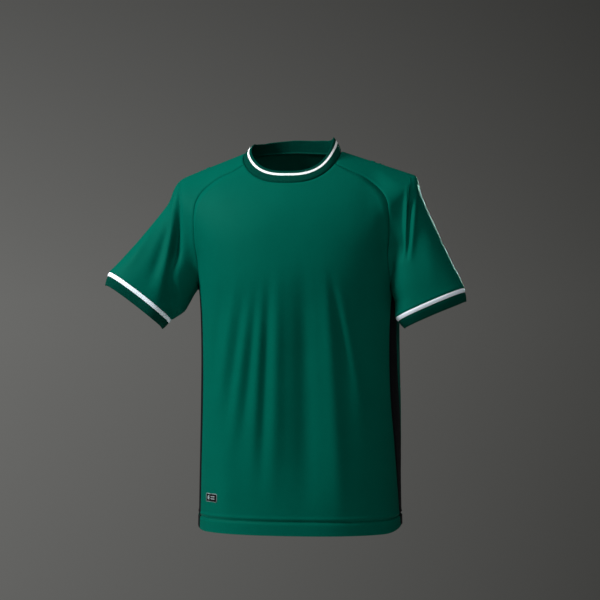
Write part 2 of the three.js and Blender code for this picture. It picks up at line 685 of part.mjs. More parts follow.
// Cuff or tape: a band that carries the sleeve's end on, drawing in as it goes.
function band(name, from, to, thick, rows) {
  const sleeve = SLEEVES[name];
  const { side, down, out, cuff, taper, bandLean } = sleeve;
  const end = sleevePanel(name).end;
  const axis = point(down.x + out.x * bandLean, 0, down.z + out.z * bandLean);
  const middle = point(cuff.x, cuff.y, cuff.z);
  const around = end.length;
  const ringAt = (deep, sink) =>
    end.map((p) => {
      const n = outward(p, "sleeve");
      const spoke = p.clone().sub(middle).normalize();
      return p
        .clone()
        .addScaledVector(n, foldHeight(p, n) - sink)
        .addScaledVector(axis, deep)
        .addScaledVector(spoke, -deep * taper);
    });
  const levels = Array.from({ length: rows + 1 }, (_, i) => mix(from, to, i / rows));
  const cells = [];
  for (let i = 0; i < rows; i++)
    for (let j = 0; j < around; j++) {
      const k = (j + 1) % around;
      const quad = [i * around + j, i * around + k, (i + 1) * around + k, (i + 1) * around + j];
      cells.push(side > 0 ? quad.reverse() : quad);
    }
  return wall(levels.flatMap((d) => ringAt(d, 0)), levels.flatMap((d) => ringAt(d, thick)), cells);
}

// Collar: a folded rib band that stands up from the neck seam and leans in.
function collarBand() {
  const inset = column(COLLAR, "turn", "inset");
  const rise = column(COLLAR, "turn", "rise");
  const profile = [
    { up: 0, out: 0 },
    { up: 0.5, out: COLLAR_BULGE },
    { up: 0.92, out: 0.8 },
    { up: 1, out: -RIB_THICK * 0.3 },
    { up: 1, out: -RIB_THICK * 0.75 },
    { up: 0.9, out: -RIB_THICK },
    { up: 0.5, out: COLLAR_BULGE - RIB_THICK },
    { up: 0, out: -RIB_THICK },
  ];
  const points = [];
  for (let i = 0; i < COLLAR_STEPS; i++) {
    const turn = (360 * i) / COLLAR_STEPS;
    const foot = neckSeam(turn);
    const n = outward(foot);
    const inward = point(-foot.x / NECK.half ** 2, -foot.y / NECK.front ** 2, 0).normalize();
    const stand = inward.multiplyScalar(inset(turn)).add(point(0, 0, rise(turn)));
    const height = stand.length();
    const lean = stand.clone().normalize();
    const face = n.clone().addScaledVector(lean, -n.dot(lean)).normalize();
    const low = foot.clone().addScaledVector(lean, SEAM_GAP);
    for (const { up, out } of profile)
      points.push(low.clone().addScaledVector(lean, (height - SEAM_GAP) * up).addScaledVector(face, out));
  }
  const around = profile.length;
  const faces = [];
  for (let i = 0; i < COLLAR_STEPS; i++)
    for (let j = 0; j < around; j++) {
      const [a, b] = [i * around + j, i * around + ((j + 1) % around)];
      const next = ((i + 1) % COLLAR_STEPS) * around - i * around;
      faces.push(a, b, b + next, a, b + next, a + next);
    }
  const geometry = new THREE.BufferGeometry();
  geometry.setAttribute("position", new THREE.Float32BufferAttribute(points.flatMap((p) => [p.x, p.y, p.z]), 3));
  geometry.setIndex(faces);
  geometry.computeVertexNormals();
  return geometry;
}

// Label: a small patch on the front panel's points, moved out.
function hemLabel() {
  const steps = 3;
  const rows = Array.from({ length: steps + 1 }, (_, i) =>
    Array.from({ length: steps + 1 }, (_, j) => {
      const x = LABEL.x + LABEL.wide * (j / steps - 0.5);
      const z = LABEL.z + LABEL.tall * (i / steps - 0.5);
      return castOut(point(x, 0, z), point(0, -1, 0));
    }),
  );
  return cloth(sheetOf(rows), LABEL_THICK, LABEL.lift + LABEL_THICK);
}

const jersey = new THREE.Group();
function addPiece(name, geometry, finish) {
  const mesh = new THREE.Mesh(geometry, new THREE.MeshStandardMaterial(FINISH[finish]));
  mesh.name = name;
  jersey.add(mesh);
}

addPiece("front", cloth(bodyPanel(-1, CELLS.frontAcross)), "green");
addPiece("back", cloth(bodyPanel(1, CELLS.backAcross)), "green");
for (const name of Object.keys(SLEEVES)) {
  addPiece(`side_panel_${name}`, cloth(sidePanel(name)), "black");
  addPiece(`sleeve_${name}`, cloth(sleevePanel(name)), "green");
  addPiece(`cuff_tape_${name}`, band(name, SEAM_GAP, TAPE_DEEP, CLOTH_THICK, 1), "white");
  addPiece(`cuff_${name}`, band(name, TAPE_DEEP + SEAM_GAP, TAPE_DEEP + CUFF_DEEP, RIB_THICK, 1), "rib");
}
addPiece("collar", collarBand(), "rib");
addPiece("hem_label", hemLabel(), "black");

export default jersey;
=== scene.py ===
"""Dresses the football jersey: fine cloth shells on the form of its solids, with creases, seams and knit.

Sizes are millimetres in the frame of the solids, and turn to metres when a mesh is made. The front
faces -Y and the wearer's left is +X. Each cut piece is a grid of points on one smooth worn form, moved
by the creases and closed into a thin shell, as its solid is, but with cells of about 2 mm.
"""

from __future__ import annotations

import logging
import math
from dataclasses import dataclass, field
from enum import Enum
from typing import Any, Callable, Sequence

import bpy
import numpy as np
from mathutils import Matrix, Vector
from mathutils.kdtree import KDTree


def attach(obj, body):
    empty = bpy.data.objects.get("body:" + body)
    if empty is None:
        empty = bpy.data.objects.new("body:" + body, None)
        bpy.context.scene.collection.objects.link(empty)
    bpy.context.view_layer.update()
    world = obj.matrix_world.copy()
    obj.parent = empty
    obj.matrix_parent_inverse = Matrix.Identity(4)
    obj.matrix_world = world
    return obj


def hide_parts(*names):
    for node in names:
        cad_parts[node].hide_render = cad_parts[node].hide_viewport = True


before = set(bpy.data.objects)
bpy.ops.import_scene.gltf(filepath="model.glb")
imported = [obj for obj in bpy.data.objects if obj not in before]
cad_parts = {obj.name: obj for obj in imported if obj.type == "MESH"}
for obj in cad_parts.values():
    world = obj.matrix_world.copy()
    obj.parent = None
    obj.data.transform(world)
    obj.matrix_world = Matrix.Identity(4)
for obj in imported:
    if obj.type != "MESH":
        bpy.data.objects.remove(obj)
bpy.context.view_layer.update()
LOG = logging.getLogger("jersey")
Reader = Callable[[np.ndarray], np.ndarray]

MM = 0.001
HEM_Z = -700.0
UNDERARM_Z = -259.0
LET_GO = 10.0
SLEEVE_SQUARE = 2.2
CLOTH_THICK = 1.1
RIB_THICK = 2.4
COLLAR_DEEP = 25.0
TAPE_DEEP = 7.2
CUFF_DEEP = 16.0
HEM_POINTS = 720
THREAD_LIFT = 0.25
UV_NAME = "cloth_mm"


class Part(Enum):
    """Which part of the worn form a piece follows below the underarm."""

    BOTH = "both"
    TRUNK = "trunk"
    SLEEVE = "sleeve"


class Face(Enum):
    """The side of the garment, as the sign of its Y."""

    FRONT = -1
    BACK = 1


@dataclass(frozen=True)
class TrunkSection:
    """A level section of the trunk: its half width, depths, squareness and lean."""

    z: float
    width: float
    front: float
    back: float
    square: float
    lean: float


TRUNK = [
    TrunkSection(*row)
    for row in (
        (60, 216, 48, 56, 2.4, 0),
        (0, 216, 66, 78, 2.4, 0),
        (-40, 215, 82, 96, 2.4, 0),
        (-80, 212, 99, 110, 2.45, 1),
        (-120, 205, 113, 119, 2.45, 3),
        (-180, 194, 127, 126, 2.4, 7),
        (-235, 186, 133, 125, 2.35, 10),
        (-300, 183, 131, 120, 2.3, 12),
        (-380, 182.5, 127, 117, 2.3, 13),
        (-480, 184, 126, 118, 2.3, 13.5),
        (-600, 185, 126, 122, 2.35, 12.5),
        (-720, 187, 127, 126, 2.35, 12.5),
    )
]


@dataclass(frozen=True)
class SleeveLine:
    """How far the sleeve's outer edge and underside stand from its middle line."""

    up: float
    outer: float
    under: float


@dataclass(frozen=True)
class SleeveDepth:
    """How the sleeve deepens and moves back up its length."""

    up: float
    grow: float
    y: float


SLEEVE_DEPTH = [
    SleeveDepth(*row)
    for row in (
        (0, 0, 0),
        (60, 10, 14),
        (120, 18, 34),
        (180, 20, 46),
        (240, 14, 50),
    )
]


@dataclass(frozen=True)
class SeamRow:
    """The places of a side panel's front and back seams at a height."""

    z: float
    front: float
    back: float


@dataclass(frozen=True)
class CollarRow:
    """How far the collar's top edge stands in from and above the neck seam."""

    turn: float
    inset: float
    rise: float


COLLAR = [
    CollarRow(*row)
    for row in (
        (-60, 12, 20),
        (0, 6, 23),
        (50, 9, 25),
        (90, 14, 26),
        (130, 13, 21),
        (180, 12.5, 22),
        (230, 14, 20),
        (270, 15, 16),
        (300, 12, 20),
        (360, 6, 23),
        (410, 9, 25),
    )
]


@dataclass(frozen=True)
class Neck:
    """The neck seam, in plan and in height."""

    half: float = 88
    front: float = 88
    back: float = 70
    square: float = 2.4
    side_z: float = -10
    front_z: float = -69.5
    back_z: float = 10
    raglan_front: float = 116
    raglan_back: float = 52


@dataclass(frozen=True)
class Ridge:
    """The shoulder slope, and how it falls away to front and back."""

    neck_x: float = 88
    y: float = 4
    fall_front: float = 0.062
    fall_back: float = 0.042
    power: float = 1.5
    soft_neck: float = 60


NECK = Neck()
RIDGE = Ridge()


def mix(a: Any, b: Any, t: Any) -> Any:
    """Returns the value a share t of the way from a to b."""
    return a + (b - a) * t


def ramp(start: float, end: float, x: Any) -> Any:
    """Returns a smooth step from 0 at start to 1 at end."""
    t = np.clip((np.asarray(x, float) - start) / (end - start), 0, 1)
    return t * t * (3 - 2 * t)


def soft_max(a: np.ndarray, b: np.ndarray, soft: Any) -> np.ndarray:
    """Returns the greater of two distances, rounded where they are nearly equal."""
    near = np.maximum(soft - np.abs(a - b), 0) / soft
    return np.maximum(a, b) + near * near * soft / 4


def column(rows: Sequence[Any], along: str, name: str) -> Reader:
    """Draws a smooth curve through one column of a table.

    Args:
        rows: the table, a dataclass a row.
        along: the column that the curve runs along.
        name: the column that it reads.

    Returns:
        A function that reads the curve at any places.
    """
    ordered = sorted(rows, key=lambda row: getattr(row, along))
    at = np.array([getattr(row, along) for row in ordered], float)
    value = np.array([getattr(row, name) for row in ordered], float)
    last = len(at) - 1
    before, after = np.maximum(np.arange(last + 1) - 1, 0), np.minimum(np.arange(last + 1) + 1, last)
    slope = (value[after] - value[before]) / (at[after] - at[before])
    places = np.linspace(at[0], at[-1], 1600)
    k = np.clip(np.searchsorted(at, places, side="right") - 1, 0, last - 1)
    step = at[k + 1] - at[k]
    t = np.clip((places - at[k]) / step, 0, 1)
    drawn = (
        (2 * t**3 - 3 * t**2 + 1) * value[k]
        + (t**3 - 2 * t**2 + t) * step * slope[k]
        + (3 * t**2 - 2 * t**3) * value[k + 1]
        + (t**3 - t**2) * step * slope[k + 1]
    )
    return lambda x: np.interp(x, places, drawn)


def spoke_distance(a: Any, b: Any, half_a: Any, half_b: Any, square: Any) -> np.ndarray:
    """Returns the distance along a spoke to a rounded oblong, negative inside it."""
    share = (np.abs(a / half_a) ** square + np.abs(b / half_b) ** square) ** (1 / square)
    outside = np.hypot(a, b) * (1 - 1 / np.maximum(share, 1e-6))
    return np.where(share < 1e-6, -np.minimum(half_a, half_b), outside)


def unit(v: np.ndarray) -> np.ndarray:
    """Returns vectors at length one."""
    return v / np.maximum(np.linalg.norm(v, axis=-1, keepdims=True), 1e-9)


@dataclass
class SleeveCut:
    """One sleeve's sizes: where it hangs, how it leans and how wide it is up its length."""

    name: str
    side: int
    neck_z: float
    soft_tip: float
    shoulder: tuple[float, float]
    cuff: tuple[float, float, float]
    tilt: float
    under_up: float
    cuff_half: float
    cuff_depth: float
    end_lift: float
    end_out: float
    end_front: float
    end_back: float
    band_lean: float
    taper: float
    lines: list[SleeveLine]
    raglan_front: list[tuple[float, float]]
    raglan_back: list[tuple[float, float]]
    panel: list[SeamRow]
    outer: Reader = field(init=False)
    under: Reader = field(init=False)

    def __post_init__(self) -> None:
        """Works out the sleeve's own directions and curves."""
        lean = math.radians(self.tilt)
        self.down = np.array([self.side * math.sin(lean), 0, -math.cos(lean)])
        self.out = np.array([self.side * math.cos(lean), 0, math.sin(lean)])
        self.outer = column(self.lines, "up", "outer")
        self.under = column(self.lines, "up", "under")
        self.grow = column(SLEEVE_DEPTH, "up", "grow")
        self.back_by = column(SLEEVE_DEPTH, "up", "y")

    def up_and_out(self, x: np.ndarray, z: np.ndarray) -> tuple[np.ndarray, np.ndarray]:
        """Returns how far up the sleeve and out from its middle line a point lies."""
        dx, dz = x - self.cuff[0], z - self.cuff[2]
        return -(dx * self.down[0] + dz * self.down[2]), dx * self.out[0] + dz * self.out[2]

    def distance(self, x: np.ndarray, y: np.ndarray, z: np.ndarray) -> np.ndarray:
        """Returns the distance to the sleeve's own tube, negative inside it."""
        up, out = self.up_and_out(x, z)
        reach = np.where(out > 0, self.outer(up), self.under(up))
        return spoke_distance(
            out, y - self.cuff[1] - self.back_by(up), reach, self.cuff_depth + self.grow(up), SLEEVE_SQUARE
        )


LEFT = SleeveCut(
    name="left", side=1, neck_z=-7, soft_tip=6, shoulder=(228, -54.5), cuff=(255, -60, -289), tilt=19,
    under_up=49, cuff_half=66, cuff_depth=37, end_lift=1.8, end_out=0.08, end_front=0.08, end_back=0.1,
    band_lean=0.1, taper=0.3,
    lines=[
        SleeveLine(0, 69, 66), SleeveLine(12, 68, 62), SleeveLine(25, 66.5, 58), SleeveLine(49, 63, 56.5),
        SleeveLine(95, 57, 41), SleeveLine(150, 51, 30), SleeveLine(200, 47, 25), SleeveLine(235, 46, 24),
    ],
    raglan_front=[(111, -47), (139, -60), (164, -80), (179, -102), (183, -124), (184, -162), (182, -212)],
    raglan_back=[(98, -26), (130, -60), (155, -100), (171, -146), (180, -202)],
    panel=[
        SeamRow(UNDERARM_Z, -48, -24), SeamRow(-300, -54, -25), SeamRow(-355, -56, -25),
        SeamRow(-455, -54, -16), SeamRow(-530, -44, 6), SeamRow(-600, -32, 30), SeamRow(HEM_Z, -16, 54),
    ],
)
RIGHT = SleeveCut(
    name="right", side=-1, neck_z=-8, soft_tip=19, shoulder=(-222, -60), cuff=(-281, -46, -276), tilt=35,
    under_up=77, cuff_half=73, cuff_depth=38, end_lift=3.5, end_out=0.03, end_front=0.27, end_back=0.12,
    band_lean=-0.08, taper=0.26,
    lines=[
        SleeveLine(0, 73, 74), SleeveLine(26, 68.5, 84), SleeveLine(42, 66.5, 83), SleeveLine(62, 64.5, 80),
        SleeveLine(80, 63, 79), SleeveLine(100, 62, 75), SleeveLine(120, 61, 70), SleeveLine(154, 60, 64),
        SleeveLine(182, 60, 58), SleeveLine(235, 68, 50),
    ],
    raglan_front=[
        (-102, -46), (-132, -60), (-158, -82), (-170, -104), (-173, -124), (-173, -162), (-168, -212),
    ],
    raglan_back=[(-98, -26), (-130, -60), (-154, -100), (-168, -146), (-174, -202)],
    panel=[
        SeamRow(UNDERARM_Z, -40, -14), SeamRow(-300, -48, -12), SeamRow(-355, -49, -10),
        SeamRow(-455, -50, -2), SeamRow(-560, -50, 10), SeamRow(HEM_Z, -50, 22),
    ],
)


class WornForm:
    """The whole smooth form the cloth lies on: a trunk, two sleeves and a shoulder slope."""

    def __init__(self) -> None:
        """Draws the trunk's curves."""
        self.width = column(TRUNK, "z", "width")
        self.front = column(TRUNK, "z", "front")
        self.back = column(TRUNK, "z", "back")
        self.square = column(TRUNK, "z", "square")
        self.lean = column(TRUNK, "z", "lean")

    def trunk(self, x: np.ndarray, y: np.ndarray, z: np.ndarray) -> np.ndarray:
        """Returns the distance to the trunk alone."""
        depth = np.where(y < 0, self.front(z), self.back(z))
        return spoke_distance(x - self.lean(z), y, self.width(z), depth, self.square(z))

    @staticmethod
    def slope(x: np.ndarray, y: np.ndarray, z: np.ndarray) -> np.ndarray:
        """Returns the height above the shoulder slope, measured square to it."""
        grades = [
            (cut.neck_z - cut.shoulder[1]) / (abs(cut.shoulder[0]) - RIDGE.neck_x) for cut in (RIGHT, LEFT)
        ]
        share = ramp(-50, 50, x)
        grade = mix(grades[0], grades[1], share)
        ridge = mix(RIGHT.neck_z, LEFT.neck_z, share) - grade * (np.hypot(x, 20) - RIDGE.neck_x)
        rate = np.where(y < RIDGE.y, RIDGE.fall_front, RIDGE.fall_back)
        away = np.abs(y - RIDGE.y)
        steep = rate * RIDGE.power * away ** (RIDGE.power - 1)
        return (z - ridge + rate * away**RIDGE.power) / np.sqrt(1 + grade**2 + steep**2)

    def one_side(self, cut: SleeveCut, p: np.ndarray, part: Part) -> np.ndarray:
        """Returns the distance to the form for points on one sleeve's side."""
        x, y, z = p[:, 0], p[:, 1], p[:, 2]
        soft = mix(6, 34, ramp(-262, -170, z))
        trunk, sleeve = self.trunk(x, y, z), cut.distance(x, y, z)
        if part is Part.TRUNK:
            sleeve = sleeve + 3 * np.maximum(0, UNDERARM_Z + LET_GO - z)
        if part is Part.SLEEVE:
            trunk = trunk + 3 * np.maximum(0, cut.under_up + LET_GO - cut.up_and_out(x, z)[0])
        body = -soft_max(-trunk, -sleeve, soft)
        slope_soft = mix(RIDGE.soft_neck, cut.soft_tip, ramp(140, 215, np.abs(x)))
        return soft_max(body, self.slope(x, y, z), slope_soft)

    def distance(self, p: np.ndarray, part: Part = Part.BOTH) -> np.ndarray:
        """Returns the distance to the whole form, negative inside it.

        Args:
            p: points, the last axis being x, y and z.
            part: the part that is followed below the underarm.

        Returns:
            A distance for each point.
        """
        flat = np.asarray(p, float).reshape(-1, 3)
        found = np.empty(len(flat))
        left = flat[:, 0] > 0
        for cut, chosen in ((LEFT, left), (RIGHT, ~left)):
            if chosen.any():
                found[chosen] = self.one_side(cut, flat[chosen], part)
        return found.reshape(np.asarray(p).shape[:-1])

    def outward(self, p: np.ndarray, part: Part = Part.BOTH) -> np.ndarray:
        """Returns the direction out of the form at each point."""
        steps = np.eye(3) * 0.5
        return unit(np.stack([self.distance(p + s, part) - self.distance(p - s, part) for s in steps], -1))

    def settle(self, p: np.ndarray, part: Part = Part.BOTH, rounds: int = 9) -> np.ndarray:
        """Slides nearby points onto the form, square to it.

        Args:
            p: the points.
            part: the part that is followed below the underarm.
            rounds: how many times each point steps nearer.

        Returns:
            The points on the form.
        """
        q = np.array(p, float)
        for _ in range(rounds):
            n = self.outward(q, part)
            here = self.distance(q, part)
            rate = np.maximum(self.distance(q + n, part) - here, 0.4)
            q -= n * (here / rate)[..., None]
        return q

    def cast_out(self, start: np.ndarray, direction: np.ndarray, part: Part = Part.BOTH) -> np.ndarray:
        """Finds where rays from inside first leave the form.

        Args:
            start: the rays' starts.
            direction: their directions.
            part: the part that is followed below the underarm.

        Returns:
            The points where they leave it.
        """
        start, d = np.broadcast_arrays(np.asarray(start, float), unit(np.asarray(direction, float)))
        shape, start, d = start.shape, start.reshape(-1, 3), d.reshape(-1, 3)
        near, far = np.zeros(len(start)), np.full(len(start), 6.0)
        going = np.arange(len(start))
        while len(going):
            inside = self.distance(start[going] + d[going] * far[going, None], part) < 0
            going = going[inside & (far[going] < 400)]
            near[going] = far[going]
            far[going] += 6
        for _ in range(20):
            half = (near + far) / 2
            inside = self.distance(start + d * half[:, None], part) < 0
            near, far = np.where(inside, half, near), np.where(inside, far, half)
        return (start + d * far[:, None]).reshape(shape)


FORM = WornForm()


@dataclass(frozen=True)
class Crease:
    """A soft ridge or trough: its line seen from the front, half widths, height and fading ends.

    With a skew its slope towards the wearer's left is the steeper one.
    """

    face: Face
    top: tuple[float, float]
    mid: tuple[float, float]
    end: tuple[float, float]
    wide: tuple[float, float]
    high: float
    fade: float
    skew: float = 0.0

    def height(self, p: np.ndarray, n: np.ndarray) -> np.ndarray:
        """Returns how far this crease lifts or sinks the cloth at each point."""
        t = (self.top[1] - p[:, 2]) / (self.top[1] - self.end[1])
        bend = (self.top[1] - self.mid[1]) / (self.top[1] - self.end[1])
        pull = self.mid[0] - mix(self.top[0], self.end[0], bend)
        line = mix(self.top[0], self.end[0], t) + pull * t * (1 - t) / (bend * (1 - bend))
        off = (p[:, 0] - line) / mix(self.wide[0], self.wide[1], np.clip(t, 0, 1))
        off = np.where(off > 0, off * (1 + self.skew), off * (1 - self.skew))
        along = ramp(0, self.fade, t) * (1 - ramp(1 - self.fade, 1, t))
        facing = ramp(0.05, 0.45, n[:, 1] * self.face.value)
        return self.high * along * facing * np.exp(-np.minimum(off * off, 40))


F, B = Face.FRONT, Face.BACK
CREASES = [
    Crease(*row)
    for row in (
        # front of the trunk
        (F, (-112, -240), (-126, -330), (-140, -460), (8, 12), -2.0, 0.45),
        (F, (-84, -225), (-101, -330), (-128, -520), (8, 12), 3.2, 0.45),
        (F, (-68, -240), (-85, -345), (-114, -540), (7, 10), -2.6, 0.45),
        (F, (-57, -240), (-73, -360), (-102, -590), (7, 11), 3.2, 0.45),
        (F, (-47, -240), (-58, -365), (-86, -590), (6, 10), -3.0, 0.45),
        (F, (-35, -225), (-43, -350), (-60, -640), (8, 12), 3.6, 0.4),
        (F, (-23, -215), (-30, -350), (-40, -640), (7, 11), -3.6, 0.4),
        (F, (-10, -200), (-12, -350), (-22, -680), (10, 17), 5.2, 0.4),
        (F, (34, -180), (38, -370), (42, -720), (15, 26), -7.5, 0.4),
        (F, (72, -195), (83, -360), (102, -720), (10, 19), 4.8, 0.35),
        (F, (82, -215), (95, -305), (132, -480), (6, 9), -3.4, 0.45),
        (F, (92, -215), (113, -335), (148, -580), (8, 15), 4.2, 0.45),
        (F, (-112, -470), (-108, -600), (-104, -730), (16, 22), 2.6, 0.4),
        # back of the trunk
        (B, (-96, -250), (-104, -420), (-112, -690), (14, 24), 5.0, 0.3),
        (B, (-44, -280), (-48, -450), (-54, -700), (14, 22), -5.0, 0.3),
        (B, (8, -250), (6, -430), (4, -690), (16, 26), 5.5, 0.3),
        (B, (58, -270), (62, -440), (66, -700), (14, 22), -4.6, 0.3),
        (B, (104, -250), (114, -420), (120, -690), (14, 24), 5.0, 0.3),
        # wearer's right sleeve
        (F, (-209, -60), (-213, -150), (-241, -300), (5, 11), 5.5, 0.25, 0.4),
        (F, (-205, -58), (-206, -180), (-216, -370), (4.5, 16), -15.0, 0.45, 0.1),
        (F, (-214, -110), (-228, -175), (-251, -265), (8, 13), -5.0, 0.4),
        (F, (-244, -120), (-270, -180), (-308, -240), (8, 13), 3.0, 0.4),
        (B, (-224, -70), (-224, -160), (-226, -290), (9, 15), -10.0, 0.3),
        (B, (-250, -110), (-268, -180), (-290, -260), (9, 14), 5.0, 0.35),
        # wearer's left sleeve
        (F, (209, -66), (206, -160), (198, -310), (9, 14), -10.0, 0.32, 0.6),
        (F, (215, -66), (214, -150), (207, -280), (3.5, 5), 3.6, 0.25),
        (F, (221, -64), (219, -150), (210, -280), (3.5, 6), -8.0, 0.25),
        (F, (228, -60), (227, -140), (216, -260), (4, 7), 4.0, 0.3),
        (F, (250, -130), (256, -200), (258, -280), (10, 15), 1.2, 0.4),
        (B, (219, -70), (219, -125), (218, -200), (8, 12), -6.5, 0.4),
        (B, (240, -110), (250, -190), (256, -280), (9, 13), 4.5, 0.35),
    )
]


@dataclass(frozen=True)
class Hem:
    """The turned hem: its depth, and the two rows of stitches that hold it."""

    deep: float = 25.0
    rows: tuple[float, float] = (22.5, 24.7)
    lift: float = 1.2
    groove: float = 1.7
    puff: float = 1.0
    corner: float = 0.86
    corner_high: float = 12.0
    corner_fade: float = 50.0

    def height(self, z: np.ndarray) -> np.ndarray:
        """Returns how far the doubled cloth and its stitch grooves move the panel."""
        up = z - HEM_Z
        groove = self.groove * np.exp(-(((up - self.deep) / 2.0) ** 2))
        puff = self.puff * np.exp(-(((up - self.deep - 5) / 2.6) ** 2))
        return self.lift * (1 - ramp(self.deep - 6, self.deep, up)) + puff - groove

    def rise(self, p: np.ndarray) -> np.ndarray:
        """Returns how far the hem curves up near the sides."""
        z = p[:, 2]
        aside = np.abs(p[:, 0] - FORM.lean(z)) / FORM.width(z)
        side = np.clip((aside - self.corner) / (1 - self.corner), 0, 1)
        return self.corner_high * (1 - np.sqrt(1 - side**2)) * (1 - ramp(HEM_Z, HEM_Z + self.corner_fade, z))


HEM = Hem()


def fold_height(p: np.ndarray, n: np.ndarray) -> np.ndarray:
    """Returns how far all the creases move the cloth at points of the form, less near the armpits."""
    x, z = p[:, 0], p[:, 2]
    armpit = np.where(x > 0, np.hypot(x - 204, z + 246) - 12, np.hypot(x + 183, z + 240))
    return ramp(16, 56, armpit) * sum(crease.height(p, n) for crease in CREASES)


def evenly(points: np.ndarray, cells: int) -> np.ndarray:
    """Spaces points evenly along a smooth line through the given ones.

    Args:
        points: the given points.
        cells: how many stretches the line is divided into.

    Returns:
        The points, one more than the stretches.
    """
    p = np.vstack([2 * points[0] - points[1], points, 2 * points[-1] - points[-2]])
    gap = np.sqrt(np.linalg.norm(np.diff(p, axis=0), axis=1))[:, None]
    drawn = []
    t = np.linspace(0, 1, 60)[:, None]
    for i in range(1, len(p) - 2):
        a, b, c = gap[i - 1], gap[i], gap[i + 1]
        leave = ((p[i] - p[i - 1]) / a - (p[i + 1] - p[i - 1]) / (a + b) + (p[i + 1] - p[i]) / b) * b
        meet = ((p[i + 1] - p[i]) / b - (p[i + 2] - p[i]) / (b + c) + (p[i + 2] - p[i + 1]) / c) * b
        drawn.append(
            (2 * t**3 - 3 * t**2 + 1) * p[i] + (t**3 - 2 * t**2 + t) * leave
            + (3 * t**2 - 2 * t**3) * p[i + 1] + (t**3 - t**2) * meet
        )
    line = np.vstack(drawn)
    along = np.concatenate([[0], np.cumsum(np.linalg.norm(np.diff(line, axis=0), axis=1))])
    at = np.linspace(0, along[-1], cells + 1)
    return np.stack([np.interp(at, along, line[:, k]) for k in range(3)], 1)


def neck_seam(turn: np.ndarray) -> np.ndarray:
    """Returns points of the neck seam, whose turn runs from the back by way of the wearer's left."""
    angle = np.radians(np.asarray(turn, float))
    s, c = np.sin(angle), np.cos(angle)
    depth = np.where(c > 0, NECK.back, NECK.front)
    x = NECK.half * np.sign(s) * np.abs(s) ** (2 / NECK.square)
    y = depth * np.sign(c) * np.abs(c) ** (2 / NECK.square)
    end = np.where(c > 0, NECK.back_z, NECK.front_z)
    return FORM.settle(np.stack([x, y, mix(NECK.side_z, end, np.abs(y / depth))], -1), rounds=14)


@dataclass(frozen=True)
class Cells:
    """How many cells each grid has."""

    front: int = 176
    back: int = 132
    trunk_rows: int = 132
    raglan_rows: int = 76
    sleeve_rows: int = 84
    arc: int = 104
    under: int = 12


CELLS = Cells()


@dataclass
class Armhole:
    """The seams round one armhole, shared by the pieces on both sides of them."""

    cut: SleeveCut
    front: np.ndarray = field(init=False)
    back: np.ndarray = field(init=False)
    under: np.ndarray = field(init=False)

    def __post_init__(self) -> None:
        """Draws the underarm and the two raglan seams."""
        first = self.cut.panel[0]
        self.under = self.underarm(np.linspace(first.front, first.back, CELLS.under + 1))
        side = self.cut.side
        turns = [t if side > 0 else 360 - t for t in (NECK.raglan_front, NECK.raglan_back)]
        neck = neck_seam(np.array(turns))
        self.front = self.seam(neck[0], self.cut.raglan_front, Face.FRONT, self.under[0])
        self.back = self.seam(neck[1], self.cut.raglan_back, Face.BACK, self.under[-1])

    def side_x(self, y: np.ndarray, z: np.ndarray) -> np.ndarray:
        """Returns where the trunk's side stands at each y and z."""
        near, far = np.zeros(len(y)), np.full(len(y), 260.0)
        for _ in range(30):
            half = (near + far) / 2
            inside = FORM.trunk(half * self.cut.side + FORM.lean(z), y, z) < 0
            near, far = np.where(inside, half, near), np.where(inside, far, half)
        return far * self.cut.side + FORM.lean(z)

    def underarm(self, y: np.ndarray) -> np.ndarray:
        """Returns the points where trunk and sleeve part, at each y."""
        low, top = np.full(len(y), UNDERARM_Z - 60), np.full(len(y), UNDERARM_Z + 90)
        for _ in range(30):
            half = (low + top) / 2
            inside = self.cut.distance(self.side_x(y, half), y, half) < 0
            top, low = np.where(inside, half, top), np.where(inside, low, half)
        return FORM.settle(np.stack([self.side_x(y, low), y, low], -1), rounds=14)

    @staticmethod
    def seam(
        neck: np.ndarray, rows: Sequence[tuple[float, float]], face: Face, low: np.ndarray
    ) -> np.ndarray:
        """Draws a raglan seam from the underarm to the neck through the table's places."""
        start = np.array([[x, 0, z] for x, z in rows])
        seen = FORM.cast_out(start, np.array([0, face.value, 0]))[::-1]
        line = evenly(np.vstack([low, seen, neck]), CELLS.raglan_rows)
        line[1:-1] = FORM.settle(line[1:-1])
        return line

    def trunk_seam(self, edge: str) -> np.ndarray:
        """Draws a side panel's front or back seam from hem to underarm."""
        low = self.under[0] if edge == "front" else self.under[-1]
        # rows lie closer at the hem, to carry its stitched groove
        t = np.linspace(0, 1, CELLS.trunk_rows + 1) ** 1.5
        z = mix(HEM_Z, low[2], t)
        y = column(self.cut.panel, "z", edge)(mix(HEM_Z, UNDERARM_Z, t))
        start = np.stack([FORM.lean(z), y, z], -1)
        line = FORM.cast_out(start, np.array([self.cut.side, 0, 0]), Part.TRUNK)
        line[-1] = low
        return line


ARMHOLES = {cut.name: Armhole(cut) for cut in (LEFT, RIGHT)}


@dataclass
class Sheet:
    """A grid of cloth on the form: points, four-sided cells, and the cloth's own coordinates."""

    points: np.ndarray
    cells: np.ndarray
    uv: np.ndarray
    part: Part


def grid_cells(rows: int, across: int, closed: bool = False) -> np.ndarray:
    """Returns the cells of a grid of rows by across points, closed across if asked."""
    width = across if closed else across - 1
    i, j = np.meshgrid(np.arange(rows - 1), np.arange(width), indexing="ij")
    k = (j + 1) % across
    low, high = i * across, (i + 1) * across
    return np.stack([low + j, low + k, high + k, high + j], -1).reshape(-1, 4)


